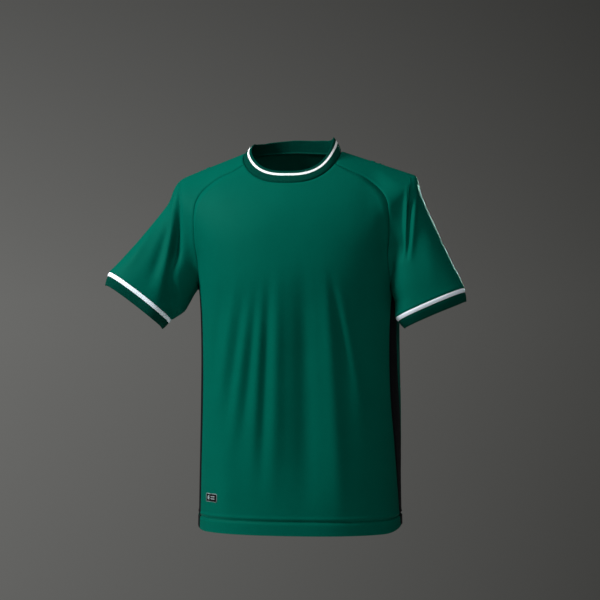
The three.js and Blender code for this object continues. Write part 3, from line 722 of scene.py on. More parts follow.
def grid_uv(points: np.ndarray, middle: int, closed: bool = False, start: float = 0.0) -> np.ndarray:
    """Works out the cloth's own coordinates: arc length from a middle column, and up that column.

    Args:
        points: the grid, rows by across by 3.
        middle: the column that the lengths are measured from.
        closed: whether the rows close on themselves.
        start: the length up at the first row.

    Returns:
        The coordinates of each cell's four corners, in millimetres.
    """
    row = np.concatenate([points, points[:, :1]], 1) if closed else points
    u = np.cumsum(np.linalg.norm(np.diff(row, axis=1), axis=2), axis=1)
    u = np.concatenate([np.zeros((len(row), 1)), u], 1)
    u -= u[:, middle : middle + 1]
    v = np.cumsum(np.linalg.norm(np.diff(points[:, middle], axis=0), axis=1))
    v = np.concatenate([[0], v]) + start
    at = np.stack([u, np.broadcast_to(v[:, None], u.shape)], -1)
    return np.stack([at[:-1, :-1], at[:-1, 1:], at[1:, 1:], at[1:, :-1]], 2).reshape(-1, 4, 2)


def free_edges(cells: np.ndarray) -> np.ndarray:
    """Returns the edges of one cell only, in the order that keeps the cell on their left."""
    edges = np.concatenate([cells[:, [i, (i + 1) % 4]] for i in range(4)])
    span = int(cells.max()) + 1
    key, back = edges[:, 0] * span + edges[:, 1], edges[:, 1] * span + edges[:, 0]
    return edges[~np.isin(key, back)]


def point_normals(points: np.ndarray, cells: np.ndarray) -> np.ndarray:
    """Returns the outward direction of a mesh at its points."""
    a, b, c, d = (points[cells[:, i]] for i in range(4))
    face = np.cross(c - a, d - b)
    total = np.zeros_like(points)
    for i in range(4):
        for k in range(3):
            total[:, k] += np.bincount(cells[:, i], face[:, k], len(points))
    return unit(total)


def make_object(name: str, points: np.ndarray, faces: np.ndarray, uv: np.ndarray) -> bpy.types.Object:
    """Makes a smooth-shaded object from points in millimetres.

    Args:
        name: the piece's name.
        points: its points.
        faces: the point numbers of each four-sided face.
        uv: the cloth's own coordinates at each face's corners.

    Returns:
        The object, linked to the scene.
    """
    mesh = bpy.data.meshes.new(name)
    mesh.from_pydata((points * MM).tolist(), [], faces.tolist())
    mesh.uv_layers.new(name=UV_NAME).uv.foreach_set("vector", uv.astype(np.float32).ravel())
    mesh.polygons.foreach_set("use_smooth", np.ones(len(faces), bool))
    mesh.update()
    made = bpy.data.objects.new(name, mesh)
    bpy.context.scene.collection.objects.link(made)
    return made


def shell_of(
    name: str, outer: np.ndarray, cells: np.ndarray, uv: np.ndarray, thick: float
) -> bpy.types.Object:
    """Closes a sheet into a thin shell: its outer face, its inner face, and its edges."""
    count = len(outer)
    inner = outer - point_normals(outer, cells) * thick
    rim = free_edges(cells)
    at_point = np.zeros((count, 2))
    at_point[cells.ravel()] = uv.reshape(-1, 2)
    one, two = rim[:, 0], rim[:, 1]
    faces = np.vstack([cells, cells[:, ::-1] + count, np.stack([two, one, one + count, two + count], 1)])
    rim_uv = at_point[np.stack([rim[:, 1], rim[:, 0], rim[:, 0], rim[:, 1]], 1)]
    return make_object(name, np.vstack([outer, inner]), faces, np.concatenate([uv, uv[:, ::-1], rim_uv]))


def edge_distance(points: np.ndarray, cells: np.ndarray, keep: Reader) -> np.ndarray:
    """Returns how far each point is from the sewn edges, which keep picks out."""
    on_edge = np.unique(free_edges(cells))
    on_edge = on_edge[keep(points[on_edge])]
    tree = KDTree(len(on_edge))
    for i, p in enumerate(points[on_edge]):
        tree.insert(p, i)
    tree.balance()
    return np.array([tree.find(p)[2] for p in points])


@dataclass(frozen=True)
class Seam:
    """A sewn edge: the cloth turns in to it, over the low ridge of its allowance."""

    dip: float = 1.0
    dip_wide: float = 1.5
    ridge: float = 0.25
    ridge_at: float = 5.0
    ridge_wide: float = 3.0

    def height(self, away: np.ndarray) -> np.ndarray:
        """Returns how far the seam moves cloth that lies so far from it."""
        dip = self.dip * np.exp(-((away / self.dip_wide) ** 2))
        return self.ridge * np.exp(-(((away - self.ridge_at) / self.ridge_wide) ** 2)) - dip


SEAM = Seam()


def crowded(cells: int, edge: int = 4, near: float = 0.4) -> np.ndarray:
    """Returns shares from 0 to 1 whose first and last cells are narrower than the rest."""
    width = np.ones(cells)
    width[:edge] = width[-edge:] = near
    return np.concatenate([[0], np.cumsum(width)]) / width.sum()


def above_hem(p: np.ndarray) -> np.ndarray:
    """Picks the edge points that are sewn to a neighbour, not the hem's own."""
    return p[:, 2] > HEM_Z + 0.5


def lay_cloth(name: str, sheet: Sheet, thick: float = CLOTH_THICK, lift: float = 0.0) -> bpy.types.Object:
    """Lays a sheet on the form with its creases, hem and seams, and closes it into a shell."""
    points = sheet.points
    n = FORM.outward(points, sheet.part)
    away = edge_distance(points, sheet.cells, above_hem)
    height = fold_height(points, n) + SEAM.height(away) + lift
    laid = points + n * height[:, None]
    if sheet.part is Part.TRUNK:
        laid += n * HEM.height(points[:, 2])[:, None]
        laid[:, 2] += HEM.rise(points)
    return shell_of(name, laid, sheet.cells, sheet.uv, thick)


def body_sheet(face: Face, across: int) -> Sheet:
    """Draws the front or back panel: rows from hem to neck, each a fan of rays from the middle."""
    edge = "front" if face is Face.FRONT else "back"
    seams = {}
    for name, hole in ARMHOLES.items():
        seams[name] = np.vstack([hole.trunk_seam(edge), getattr(hole, edge)[1:]])
    start, end = (seams["right"], seams["left"]) if face is Face.FRONT else (seams["left"], seams["right"])
    t = crowded(across)
    turn = NECK.raglan_front if face is Face.FRONT else NECK.raglan_back
    top = neck_seam(mix(360 - turn, turn, t) if face is Face.FRONT else mix(turn, -turn, t))
    rise = np.maximum(0, (np.arange(len(start)) - CELLS.trunk_rows) / CELLS.raglan_rows)[:, None]

    def bearing(p: np.ndarray) -> np.ndarray:
        """Returns the direction in which points stand, seen from the trunk's middle line."""
        return np.arctan2(p[..., 0] - FORM.lean(p[..., 2]), p[..., 1] * face.value)

    dip = top[:, 2] - mix(start[-1, 2], end[-1, 2], t)
    z = mix(start[:, 2:], end[:, 2:], t) + dip * rise**1.6
    angle = mix(mix(bearing(start)[:, None], bearing(end)[:, None], t), bearing(top), rise**3)
    middle = np.stack([FORM.lean(z), np.zeros_like(z), z], -1)
    ray = np.stack([np.sin(angle), face.value * np.cos(angle), np.zeros_like(z)], -1)
    grid = FORM.cast_out(middle, ray, Part.TRUNK)
    grid[:, 0], grid[:, -1], grid[-1] = start, end, top
    cells = grid_cells(*grid.shape[:2])
    return Sheet(grid.reshape(-1, 3), cells, grid_uv(grid, across // 2), Part.TRUNK)


def side_sheet(cut: SleeveCut) -> Sheet:
    """Draws a side panel: rows from hem to underarm between its two seams."""
    hole = ARMHOLES[cut.name]
    front, back = hole.trunk_seam("front"), hole.trunk_seam("back")
    t = np.linspace(0, 1, CELLS.under + 1)[None, :, None]
    middle = mix(front[:, None], back[:, None], t)
    start = middle.copy()
    start[..., 0] = FORM.lean(middle[..., 2])
    grid = FORM.cast_out(start, np.array([cut.side, 0, 0]), Part.TRUNK)
    grid[:, 0], grid[:, -1], grid[-1] = front, back, hole.under
    if cut.side < 0:
        grid = grid[:, ::-1]
    cells = grid_cells(*grid.shape[:2])
    return Sheet(grid.reshape(-1, 3), cells, grid_uv(grid, CELLS.under // 2), Part.TRUNK)


@dataclass
class SleeveGrid:
    """The rings of a sleeve from cuff to armhole, then its arcs from armhole to neck."""

    cut: SleeveCut
    rings: np.ndarray = field(init=False)
    arcs: np.ndarray = field(init=False)

    def __post_init__(self) -> None:
        """Works out both grids."""
        cut, hole = self.cut, ARMHOLES[self.cut.name]
        spread = 2 * CELLS.arc
        middle = hole.under[CELLS.under // 2]
        tip = np.array([cut.shoulder[0], middle[1], cut.shoulder[1]])
        reach_out = (tip - middle) / 2
        centre = middle + reach_out
        ahead_reach, back_reach, shoulder_out = 50.0, 80.0, 15.0

        def angle_of(p: np.ndarray) -> float:
            """Returns how far round the armhole a point at the underarm stands."""
            reach = ahead_reach if p[1] < centre[1] else back_reach
            return math.asin(min(1.0, abs(p[1] - centre[1]) / reach))

        first, last = math.pi - angle_of(hole.under[0]), math.pi + angle_of(hole.under[-1])
        turns = np.concatenate([
            np.linspace(first, 0, CELLS.arc + 1),
            np.linspace(0, last - 2 * math.pi, CELLS.arc + 1)[1:],
            np.linspace(last, first, CELLS.under + 1)[1:-1],
        ])
        ahead = np.sin(turns)
        arm = centre + reach_out * np.cos(turns)[:, None]
        arm[:, 0] += cut.side * shoulder_out * np.abs(ahead)
        arm[:, 1] -= ahead * np.where(ahead > 0, ahead_reach, back_reach)
        cuff = self.cuff_ring(turns)

        neck_turn = np.linspace(NECK.raglan_front, NECK.raglan_back, spread + 1)
        neck = neck_seam(neck_turn if cut.side > 0 else 360 - neck_turn)
        t = (np.arange(CELLS.raglan_rows + 1) / CELLS.raglan_rows)[:, None, None]
        across = (np.arange(spread + 1) / spread)[None, :, None]
        guess = mix(arm[None, : spread + 1], neck[None], t)
        pull_start = hole.front[:, None] - mix(arm[0], neck[0], t)
        pull_end = hole.back[:, None] - mix(arm[spread], neck[spread], t)
        guess = guess + pull_start * (1 - across) + pull_end * across
        self.arcs = FORM.settle(guess, Part.SLEEVE, 12)
        self.arcs[:, 0], self.arcs[:, -1], self.arcs[-1] = hole.front, hole.back, neck

        closing = hole.under[::-1][1:-1]
        armhole = np.vstack([guess[0], closing])
        s = (np.arange(CELLS.sleeve_rows + 1) / CELLS.sleeve_rows)[:, None, None]
        rows = mix(cuff[None], mix(arm[None], armhole[None], s * s), s)
        self.rings = FORM.settle(rows, Part.SLEEVE, 12)
        self.rings[-1] = np.vstack([self.arcs[0], closing])

    def cuff_ring(self, turns: np.ndarray) -> np.ndarray:
        """Returns the ring where the sleeve's cloth ends, before it is settled."""
        cut = self.cut
        outer, ahead = np.cos(turns) * cut.cuff_half, np.sin(turns) * cut.cuff_depth
        turned = np.where(ahead > 0, cut.end_front * ahead, -cut.end_back * ahead)
        lift = cut.end_lift + cut.end_out * outer + turned
        ring = np.array(cut.cuff) + cut.out * outer[:, None] - cut.down * lift[:, None]
        ring[:, 1] -= ahead
        return ring

    def sheet(self) -> Sheet:
        """Joins rings and arcs into one sheet: a tube that opens into a flap over the shoulder."""
        around, wide = self.rings.shape[1], self.arcs.shape[1]
        tube = grid_cells(len(self.rings), around, closed=True)
        tube_uv = grid_uv(self.rings, CELLS.arc, closed=True)
        points = np.vstack([self.rings.reshape(-1, 3), self.arcs[1:].reshape(-1, 3)])
        at = np.vstack([
            (len(self.rings) - 1) * around + np.arange(wide)[None],
            len(self.rings) * around + np.arange((len(self.arcs) - 1) * wide).reshape(-1, wide),
        ])
        flap = np.stack([at[:-1, :-1], at[:-1, 1:], at[1:, 1:], at[1:, :-1]], -1).reshape(-1, 4)
        flap_uv = grid_uv(self.arcs, CELLS.arc, start=float(tube_uv[:, :, 1].max()))
        cells, uv = np.vstack([tube, flap]), np.concatenate([tube_uv, flap_uv])
        if self.cut.side < 0:
            cells, uv = cells[:, ::-1], uv[:, ::-1]
        return Sheet(points, cells, uv, Part.SLEEVE)


def loft(name: str, rings: np.ndarray, u: np.ndarray, v: np.ndarray) -> bpy.types.Object:
    """Makes a ring-shaped band from closed profiles set round it.

    Args:
        name: the piece's name.
        rings: the profiles, steps round by points in a profile by 3.
        u: the length round the band at each step, one more than the steps.
        v: the length round the profile at each point, one more than the points.

    Returns:
        The band's object.
    """
    steps, around = rings.shape[:2]
    i, j = np.meshgrid(np.arange(steps), np.arange(around), indexing="ij")
    a, b = i * around + j, i * around + (j + 1) % around
    shift = ((i + 1) % steps - i) * around
    faces = np.stack([a, b, b + shift, a + shift], -1).reshape(-1, 4)
    uv = np.stack([
        np.stack([u[i], v[j]], -1), np.stack([u[i], v[j + 1]], -1),
        np.stack([u[i + 1], v[j + 1]], -1), np.stack([u[i + 1], v[j]], -1),
    ], 2).reshape(-1, 4, 2)
    points = rings.reshape(-1, 3)
    a3, b3, c3, d3 = (points[faces[:, k]] for k in range(4))
    volume = (a3 * np.cross(b3, c3)).sum() + (a3 * np.cross(c3, d3)).sum()
    if volume < 0:
        faces, uv = faces[:, ::-1], uv[:, ::-1]
    return make_object(name, points, faces, uv)


def lengths(points: np.ndarray) -> np.ndarray:
    """Returns the length along a closed ring of points, at each of them and back at the first."""
    ring = np.vstack([points, points[:1]])
    return np.concatenate([[0], np.cumsum(np.linalg.norm(np.diff(ring, axis=0), axis=1))])


def rounded_band(
    deep: float, thick: float, bulge: float, tuck: float
) -> tuple[np.ndarray, np.ndarray, np.ndarray]:
    """Draws the closed profile of a folded band, from its sewn edge over its fold and back.

    Args:
        deep: how deep the band is.
        thick: its thickness.
        bulge: how far its outer face swells.
        tuck: how far its sewn edge turns in.

    Returns:
        How far along and out each point is, and its length from the fold, negative inside.
    """
    up = np.concatenate([[0, 0.02, 0.05, 0.09], np.linspace(0.14, 0.94, 14)]) * deep
    share = up / deep
    out = bulge * 4 * share * (1 - share) * (1 - 0.35 * share) - tuck * np.exp(-((up / 1.6) ** 2))
    round_at = np.linspace(0, math.pi, 9)[1:-1]
    last_out = out[-1]
    fold_up = up[-1] + (deep - up[-1]) * np.sin(round_at)
    fold_out = last_out - thick / 2 + thick / 2 * np.cos(round_at)
    inner_up, inner_out = up[::-1], np.minimum(out[::-1] - thick, last_out - thick)
    along = np.concatenate([up, fold_up, inner_up])
    away = np.concatenate([out, fold_out, inner_out])
    far = np.concatenate([[0], np.cumsum(np.hypot(np.diff(along), np.diff(away)))])
    fold = far[len(up) - 1] + (far[len(up) + len(fold_up)] - far[len(up) - 1]) / 2
    return along, away, np.concatenate([fold - far, [fold - far[-1] - thick]])


def hex_to_linear(code: str) -> tuple[float, float, float, float]:
    """Turns an sRGB hex colour to a linear one with alpha."""
    parts = [int(code[i : i + 2], 16) / 255 for i in (1, 3, 5)]
    return (*(c / 12.92 if c <= 0.04045 else ((c + 0.055) / 1.055) ** 2.4 for c in parts), 1.0)


def add_node(
    tree: bpy.types.NodeTree, kind: str, settings: dict[str, Any], inputs: dict[Any, Any]
) -> bpy.types.Node:
    """Adds a node with its settings, values and links.

    Args:
        tree: the material's or world's node tree.
        kind: the node's type without its ShaderNode prefix.
        settings: the node's own settings by name.
        inputs: what each socket gets, by its name or number: a value, or another node's output.

    Returns:
        The node.
    """
    node = tree.nodes.new("ShaderNode" + kind)
    for name, value in settings.items():
        setattr(node, name, value)
    for key, value in inputs.items():
        if isinstance(value, bpy.types.NodeSocket):
            tree.links.new(value, node.inputs[key])
        else:
            node.inputs[key].default_value = value
    return node


class Pattern:
    """Small shorthand for the sums that patterns are made of."""

    def __init__(self, tree: bpy.types.NodeTree) -> None:
        """Keeps the tree and reads the cloth's own coordinates, in millimetres."""
        self.tree = tree
        uv = add_node(tree, "UVMap", {"uv_map": UV_NAME}, {})
        parts = add_node(tree, "SeparateXYZ", {}, {0: uv.outputs["UV"]})
        self.u, self.v = parts.outputs[0], parts.outputs[1]

    def math(self, operation: str, *values: Any) -> bpy.types.NodeSocket:
        """Returns the result of one sum."""
        return add_node(self.tree, "Math", {"operation": operation}, dict(enumerate(values))).outputs[0]

    def wave(self, along: Any, spacing: float, shift: Any = 0.0) -> bpy.types.NodeSocket:
        """Returns a sine of the given spacing, shifted by a share of it."""
        turns = self.math("ADD", self.math("DIVIDE", along, spacing), shift)
        return self.math("SINE", self.math("MULTIPLY", turns, 2 * math.pi))

    def noise(self, size: float, detail: float = 2.0) -> bpy.types.NodeSocket:
        """Returns a noise whose blots are about that many millimetres, fixed to the object."""
        place = add_node(self.tree, "TexCoord", {}, {}).outputs["Object"]
        inputs = {"Vector": place, "Scale": 1 / (size * MM), "Detail": detail}
        return add_node(self.tree, "TexNoise", {}, inputs).outputs[0]

    def between(self, low: float, high: float, value: Any) -> bpy.types.NodeSocket:
        """Returns 1 where a value lies between two others and 0 elsewhere, with a soft 0.3 mm edge."""
        sides = []
        for more, less in ((value, low), (high, value)):
            steep = self.math("MULTIPLY", self.math("SUBTRACT", more, less), 3.0)
            sides.append(self.math("MINIMUM", self.math("SMOOTH_MAX", 0.0, steep, 0.0), 1.0))
        return self.math("MULTIPLY", *sides)

    def blend(self, share: Any, one: Any, two: Any) -> bpy.types.NodeSocket:
        """Returns a colour between two others."""
        node = add_node(self.tree, "Mix", {"data_type": "RGBA"}, {0: share, 6: one, 7: two})
        return node.outputs[2]


@dataclass(frozen=True)
class KnitFinish:
    """A knitted cloth: its colours, its gloss, and the size of its stitches."""

    name: str
    colour: str
    shade: str
    roughness: float
    gloss: float
    sheen: float
    tint: str
    wale: float
    course: float
    relief: float
    rib: bool = False
    stripe: tuple[float, float] | None = None
    stripe_colour: str = "#f2f6f6"

    def material(self) -> bpy.types.Material:
        """Makes the material."""
        made = bpy.data.materials.new(self.name)
        made.use_nodes = True
        tree = made.node_tree
        tree.nodes.clear()
        p = Pattern(tree)
        wale = p.wave(p.u, self.wale)
        if self.rib:
            course = p.wave(p.v, self.course)
            relief = p.math("ADD", wale, p.math("MULTIPLY", course, 0.2))
        else:
            # the two legs of a stitch lean together, so the courses zigzag from wale to wale
            along = p.math("FRACT", p.math("DIVIDE", p.u, self.wale))
            legs = p.math("ABSOLUTE", p.math("SUBTRACT", along, 0.5))
            course = p.wave(p.v, self.course, p.math("MULTIPLY", legs, 1.4))
            relief = p.math("ADD", p.math("MULTIPLY", wale, 0.55), p.math("MULTIPLY", course, 0.45))
        tone = p.math("ADD", p.math("MULTIPLY", p.noise(70.0), 0.5), p.math("MULTIPLY", p.noise(2.2), 0.5))
        # painted shade: the stitches' hollows are coloured a little darker than their tops, on top of the
        # yarn's random tone
        tone = p.math("ADD", tone, p.math("MULTIPLY", relief, 0.12))
        colour = p.blend(tone, hex_to_linear(self.shade), hex_to_linear(self.colour))
        if self.stripe:
            colour = p.blend(p.between(*self.stripe, p.v), colour, hex_to_linear(self.stripe_colour))
        bump = add_node(tree, "Bump", {}, {"Strength": 0.6, "Distance": self.relief * MM, "Height": relief})
        shader = add_node(tree, "BsdfPrincipled", {}, {
            "Base Color": colour, "Roughness": self.roughness, "Normal": bump.outputs[0], "IOR": 1.5,
            "Specular IOR Level": self.gloss, "Specular Tint": hex_to_linear(self.tint),
            "Sheen Weight": self.sheen, "Sheen Roughness": 0.4, "Sheen Tint": hex_to_linear(self.tint),
        })
        out = tree.nodes.new("ShaderNodeOutputMaterial")
        tree.links.new(shader.outputs[0], out.inputs[0])
        return made


def studio_camera() -> None:
    """Sets the camera where the photograph was taken from, level with the chest and 3.5 m away."""
    data = bpy.data.cameras.new("camera")
    data.sensor_width = 36
    data.lens = 1902 / 600 * 36
    camera = bpy.data.objects.new("camera", data)
    bpy.context.scene.collection.objects.link(camera)
    turn = math.radians(8)
    ahead = Vector((-math.sin(turn), math.cos(turn), 0))
    aside = Vector((math.cos(turn), math.sin(turn), 0))
    camera.location = (ahead * -3500 + aside * 12 + Vector((0, 0, -281))) * MM
    camera.rotation_euler = ahead.to_track_quat("-Z", "Y").to_euler()
    data.clip_end = 60
    bpy.context.scene.camera = camera


@dataclass(frozen=True)
class SoftLight:
    """A soft box: where it stands, how wide and tall it is, its power and its colour."""

    name: str
    place: tuple[float, float, float]
    wide: float
    tall: float
    power: float
    colour: tuple[float, float, float] = (1.0, 1.0, 1.0)
    aim: tuple[float, float, float] = (0, 0, -340)
    spread: float = 180.0

    def build(self) -> None:
        """Adds the light, turned to the middle of the jersey."""
        data = bpy.data.lights.new(self.name, "AREA")
        data.shape, data.size, data.size_y = "RECTANGLE", self.wide * MM, self.tall * MM
        data.energy, data.color, data.spread = self.power, self.colour, math.radians(self.spread)
        light = bpy.data.objects.new(self.name, data)
        light.location = Vector(self.place) * MM
        light.rotation_euler = (Vector(self.aim) * MM - light.location).to_track_quat("-Z", "Y").to_euler()
        light.visible_camera = False
        bpy.context.scene.collection.objects.link(light)


LIGHTS = [
    SoftLight("key", (-2500, -1250, 1500), 700, 1000, 172),
    SoftLight("fill", (1300, -2600, 1100), 1400, 1600, 17),
    SoftLight("top", (100, -1100, 2500), 1000, 1000, 30),
    SoftLight("rim", (760, 2800, 250), 200, 400, 0.1, (0.5, 1.0, 0.9), (275, -30, -110), 12),
]


def studio() -> None:
    """Adds the camera, the lights, the grey surroundings with their painted shade, and the floor below a
    wearer's feet.
    """
    studio_camera()
    for light in LIGHTS:
        light.build()
    world = bpy.data.worlds.new("surroundings")
    bpy.context.scene.world = world
    world.use_nodes = True
    tree = world.node_tree
    # painted shade on the grey surroundings: darker towards the wearer's left and, where the camera sees
    # them, darker towards the top and a little towards the bottom, as where the studio light falls off
    way = add_node(tree, "SeparateXYZ", {}, {0: add_node(tree, "TexCoord", {}, {}).outputs["Generated"]})
    aside = add_node(tree, "MapRange", {}, {0: way.outputs[0], 1: -0.3, 2: 0.02}).outputs[0]
    above = add_node(tree, "MapRange", {}, {0: way.outputs[2], 1: 0.0, 2: 0.16, 3: 1.0, 4: 0.6}).outputs[0]
    below = add_node(tree, "MapRange", {}, {
        0: way.outputs[2], 1: -0.16, 2: -0.02, 3: 0.86, 4: 1.0,
    }).outputs[0]
    shaded_wall = add_node(tree, "Mix", {"data_type": "RGBA"}, {
        0: aside, 6: hex_to_linear("#6a6a68"), 7: hex_to_linear("#444442"),
    }).outputs[2]
    shade = add_node(tree, "Math", {"operation": "MULTIPLY"}, {0: above, 1: below}).outputs[0]
    seen = add_node(tree, "LightPath", {}, {}).outputs["Is Camera Ray"]
    strength = add_node(tree, "MapRange", {}, {0: seen, 3: 0.22, 4: shade}).outputs[0]
    tree.links.new(shaded_wall, tree.nodes["Background"].inputs[0])
    tree.links.new(strength, tree.nodes["Background"].inputs[1])
    angles = np.linspace(0, 2 * math.pi, 97)[:-1]
    rim = np.stack([3.4 * np.cos(angles), 3.4 * np.sin(angles), np.full(96, -1.45)], 1)
    mesh = bpy.data.meshes.new("floor")
    mesh.from_pydata(rim.tolist(), [], [list(range(96))])
    floor = bpy.data.objects.new("floor", mesh)
    bpy.context.scene.collection.objects.link(floor)
    paint = bpy.data.materials.new("pale_floor")
    paint.use_nodes = True
    shader = paint.node_tree.nodes["Principled BSDF"]
    shader.inputs["Base Color"].default_value = hex_to_linear("#c9c9c6")
    shader.inputs["Roughness"].default_value = 0.8
    mesh.materials.append(paint)


GREEN = KnitFinish("polyester_knit_green", "#005547", "#00483c", 0.5, 0.03, 0.0, "#10e8b8", 1.6, 1.9, 0.12)
BLACK = KnitFinish("polyester_mesh_black", "#0c0c10", "#060608", 0.6, 0.1, 0.02, "#a0a8b0", 2.0, 2.0, 0.3)
RIB = KnitFinish(
    "polyester_rib_green", "#003c32", "#003028", 0.6, 0.05, 0.02, "#10e8b8", 2.0, 2.4, 0.5, rib=True
)
COLLAR_RIB = KnitFinish(
    "polyester_rib_striped", "#003c32", "#003028", 0.6, 0.05, 0.02, "#10e8b8", 2.0, 2.4, 0.5,
    rib=True, stripe=(6.6, 11.6),
)
LABEL_DARK = KnitFinish("woven_label_dark", "#08070a", "#040405", 0.6, 0.1, 0.02, "#ffffff", 0.8, 0.8, 0.1)
LABEL_PALE = KnitFinish("woven_label_pale", "#7f8c8e", "#727e80", 0.6, 0.1, 0.02, "#ffffff", 0.8, 0.8, 0.1)
THREAD = KnitFinish("polyester_thread_green", "#005b4b", "#004a3c", 0.5, 0.2, 0.05, "#10e8b8", 0.6, 0.6, 0.1)
TAPE = KnitFinish("polyester_tape_white", "#eaf6ff", "#dce8f2", 0.55, 0.3, 0.1, "#ffffff", 1.4, 1.4, 0.15)


@dataclass(frozen=True)
class Stitching:
    """A run of stitches: how long and thick each is, and the pitch from one to the next."""

    length: float = 3.0
    half_thick: float = 0.32
    pitch: float = 3.9
    stations: int = 5
    around: int = 6

    def build(self, name: str, line: np.ndarray, out: np.ndarray) -> bpy.types.Object:
        """Sews stitches along a closed line that lies on the cloth.

        Args:
            name: the run's name.
            line: the points along the line.
            out: the cloth's outward direction at each of them.

        Returns:
            One object with every stitch of the run.
        """
        at = lengths(line)
        count = int(at[-1] / self.pitch)
        stops = np.linspace(-1, 1, self.stations)
        centre = (np.arange(count) + 0.5)[:, None] * at[-1] / count

        def closed(values: np.ndarray, where: np.ndarray) -> np.ndarray:
            """Reads values given round the closed line at lengths along it."""
            ring = np.vstack([values, values[:1]])
            return np.stack([np.interp(where, at, ring[:, k]) for k in range(3)], -1)

        along = closed(line, centre + stops * self.length / 2)
        up = unit(closed(out, centre + stops * 0))
        side = unit(np.cross(along[:, -1:] - along[:, :1], up))
        full = self.half_thick * np.sqrt(np.maximum(0.12, 1 - stops**2))
        turns = np.linspace(0, 2 * math.pi, self.around + 1)[:-1]
        spread = side[:, :, None] * np.cos(turns)[:, None] + up[:, :, None] * np.sin(turns)[:, None]
        rings = along[:, :, None] + spread * full[None, :, None, None]
        points = rings.reshape(count, -1, 3)
        first = np.arange(count)[:, None] * self.stations * self.around
        cells = (grid_cells(self.stations, self.around, closed=True)[None] + first[..., None]).reshape(-1, 4)
        # each six-sided end is closed with two four-sided faces
        last = (self.stations - 1) * self.around
        near_ends, far_ends = np.array([(3, 2, 1, 0), (5, 4, 3, 0)]), np.array([(0, 1, 2, 3), (0, 3, 4, 5)])
        ends = np.concatenate([quad + first for quad in (*near_ends, *(far_ends + last))])
        faces = np.vstack([cells, ends])
        points = points.reshape(-1, 3)
        a, b, c = (points[faces[:, k]] for k in range(3))
        if (a * np.cross(b, c)).sum() < 0:
            faces = faces[:, ::-1]
        return make_object(name, points, faces, np.zeros((len(faces), 4, 2)))


def hem_line(up: float) -> tuple[np.ndarray, np.ndarray]:
    """Returns a line round the hem at a height above its edge, and the cloth's outward directions."""
    turns = np.linspace(0, 2 * math.pi, HEM_POINTS + 1)[:-1]
    z = np.full(HEM_POINTS, HEM_Z + up)
    ray = np.stack([np.sin(turns), np.cos(turns), 0 * turns], 1)
    on_form = FORM.cast_out(np.stack([FORM.lean(z), 0 * z, z], 1), ray, Part.TRUNK)
    n = FORM.outward(on_form, Part.TRUNK)
    line = on_form + n * (fold_height(on_form, n) + HEM.height(on_form[:, 2]) + THREAD_LIFT)[:, None]
    line[:, 2] += HEM.rise(on_form)
    return line, n


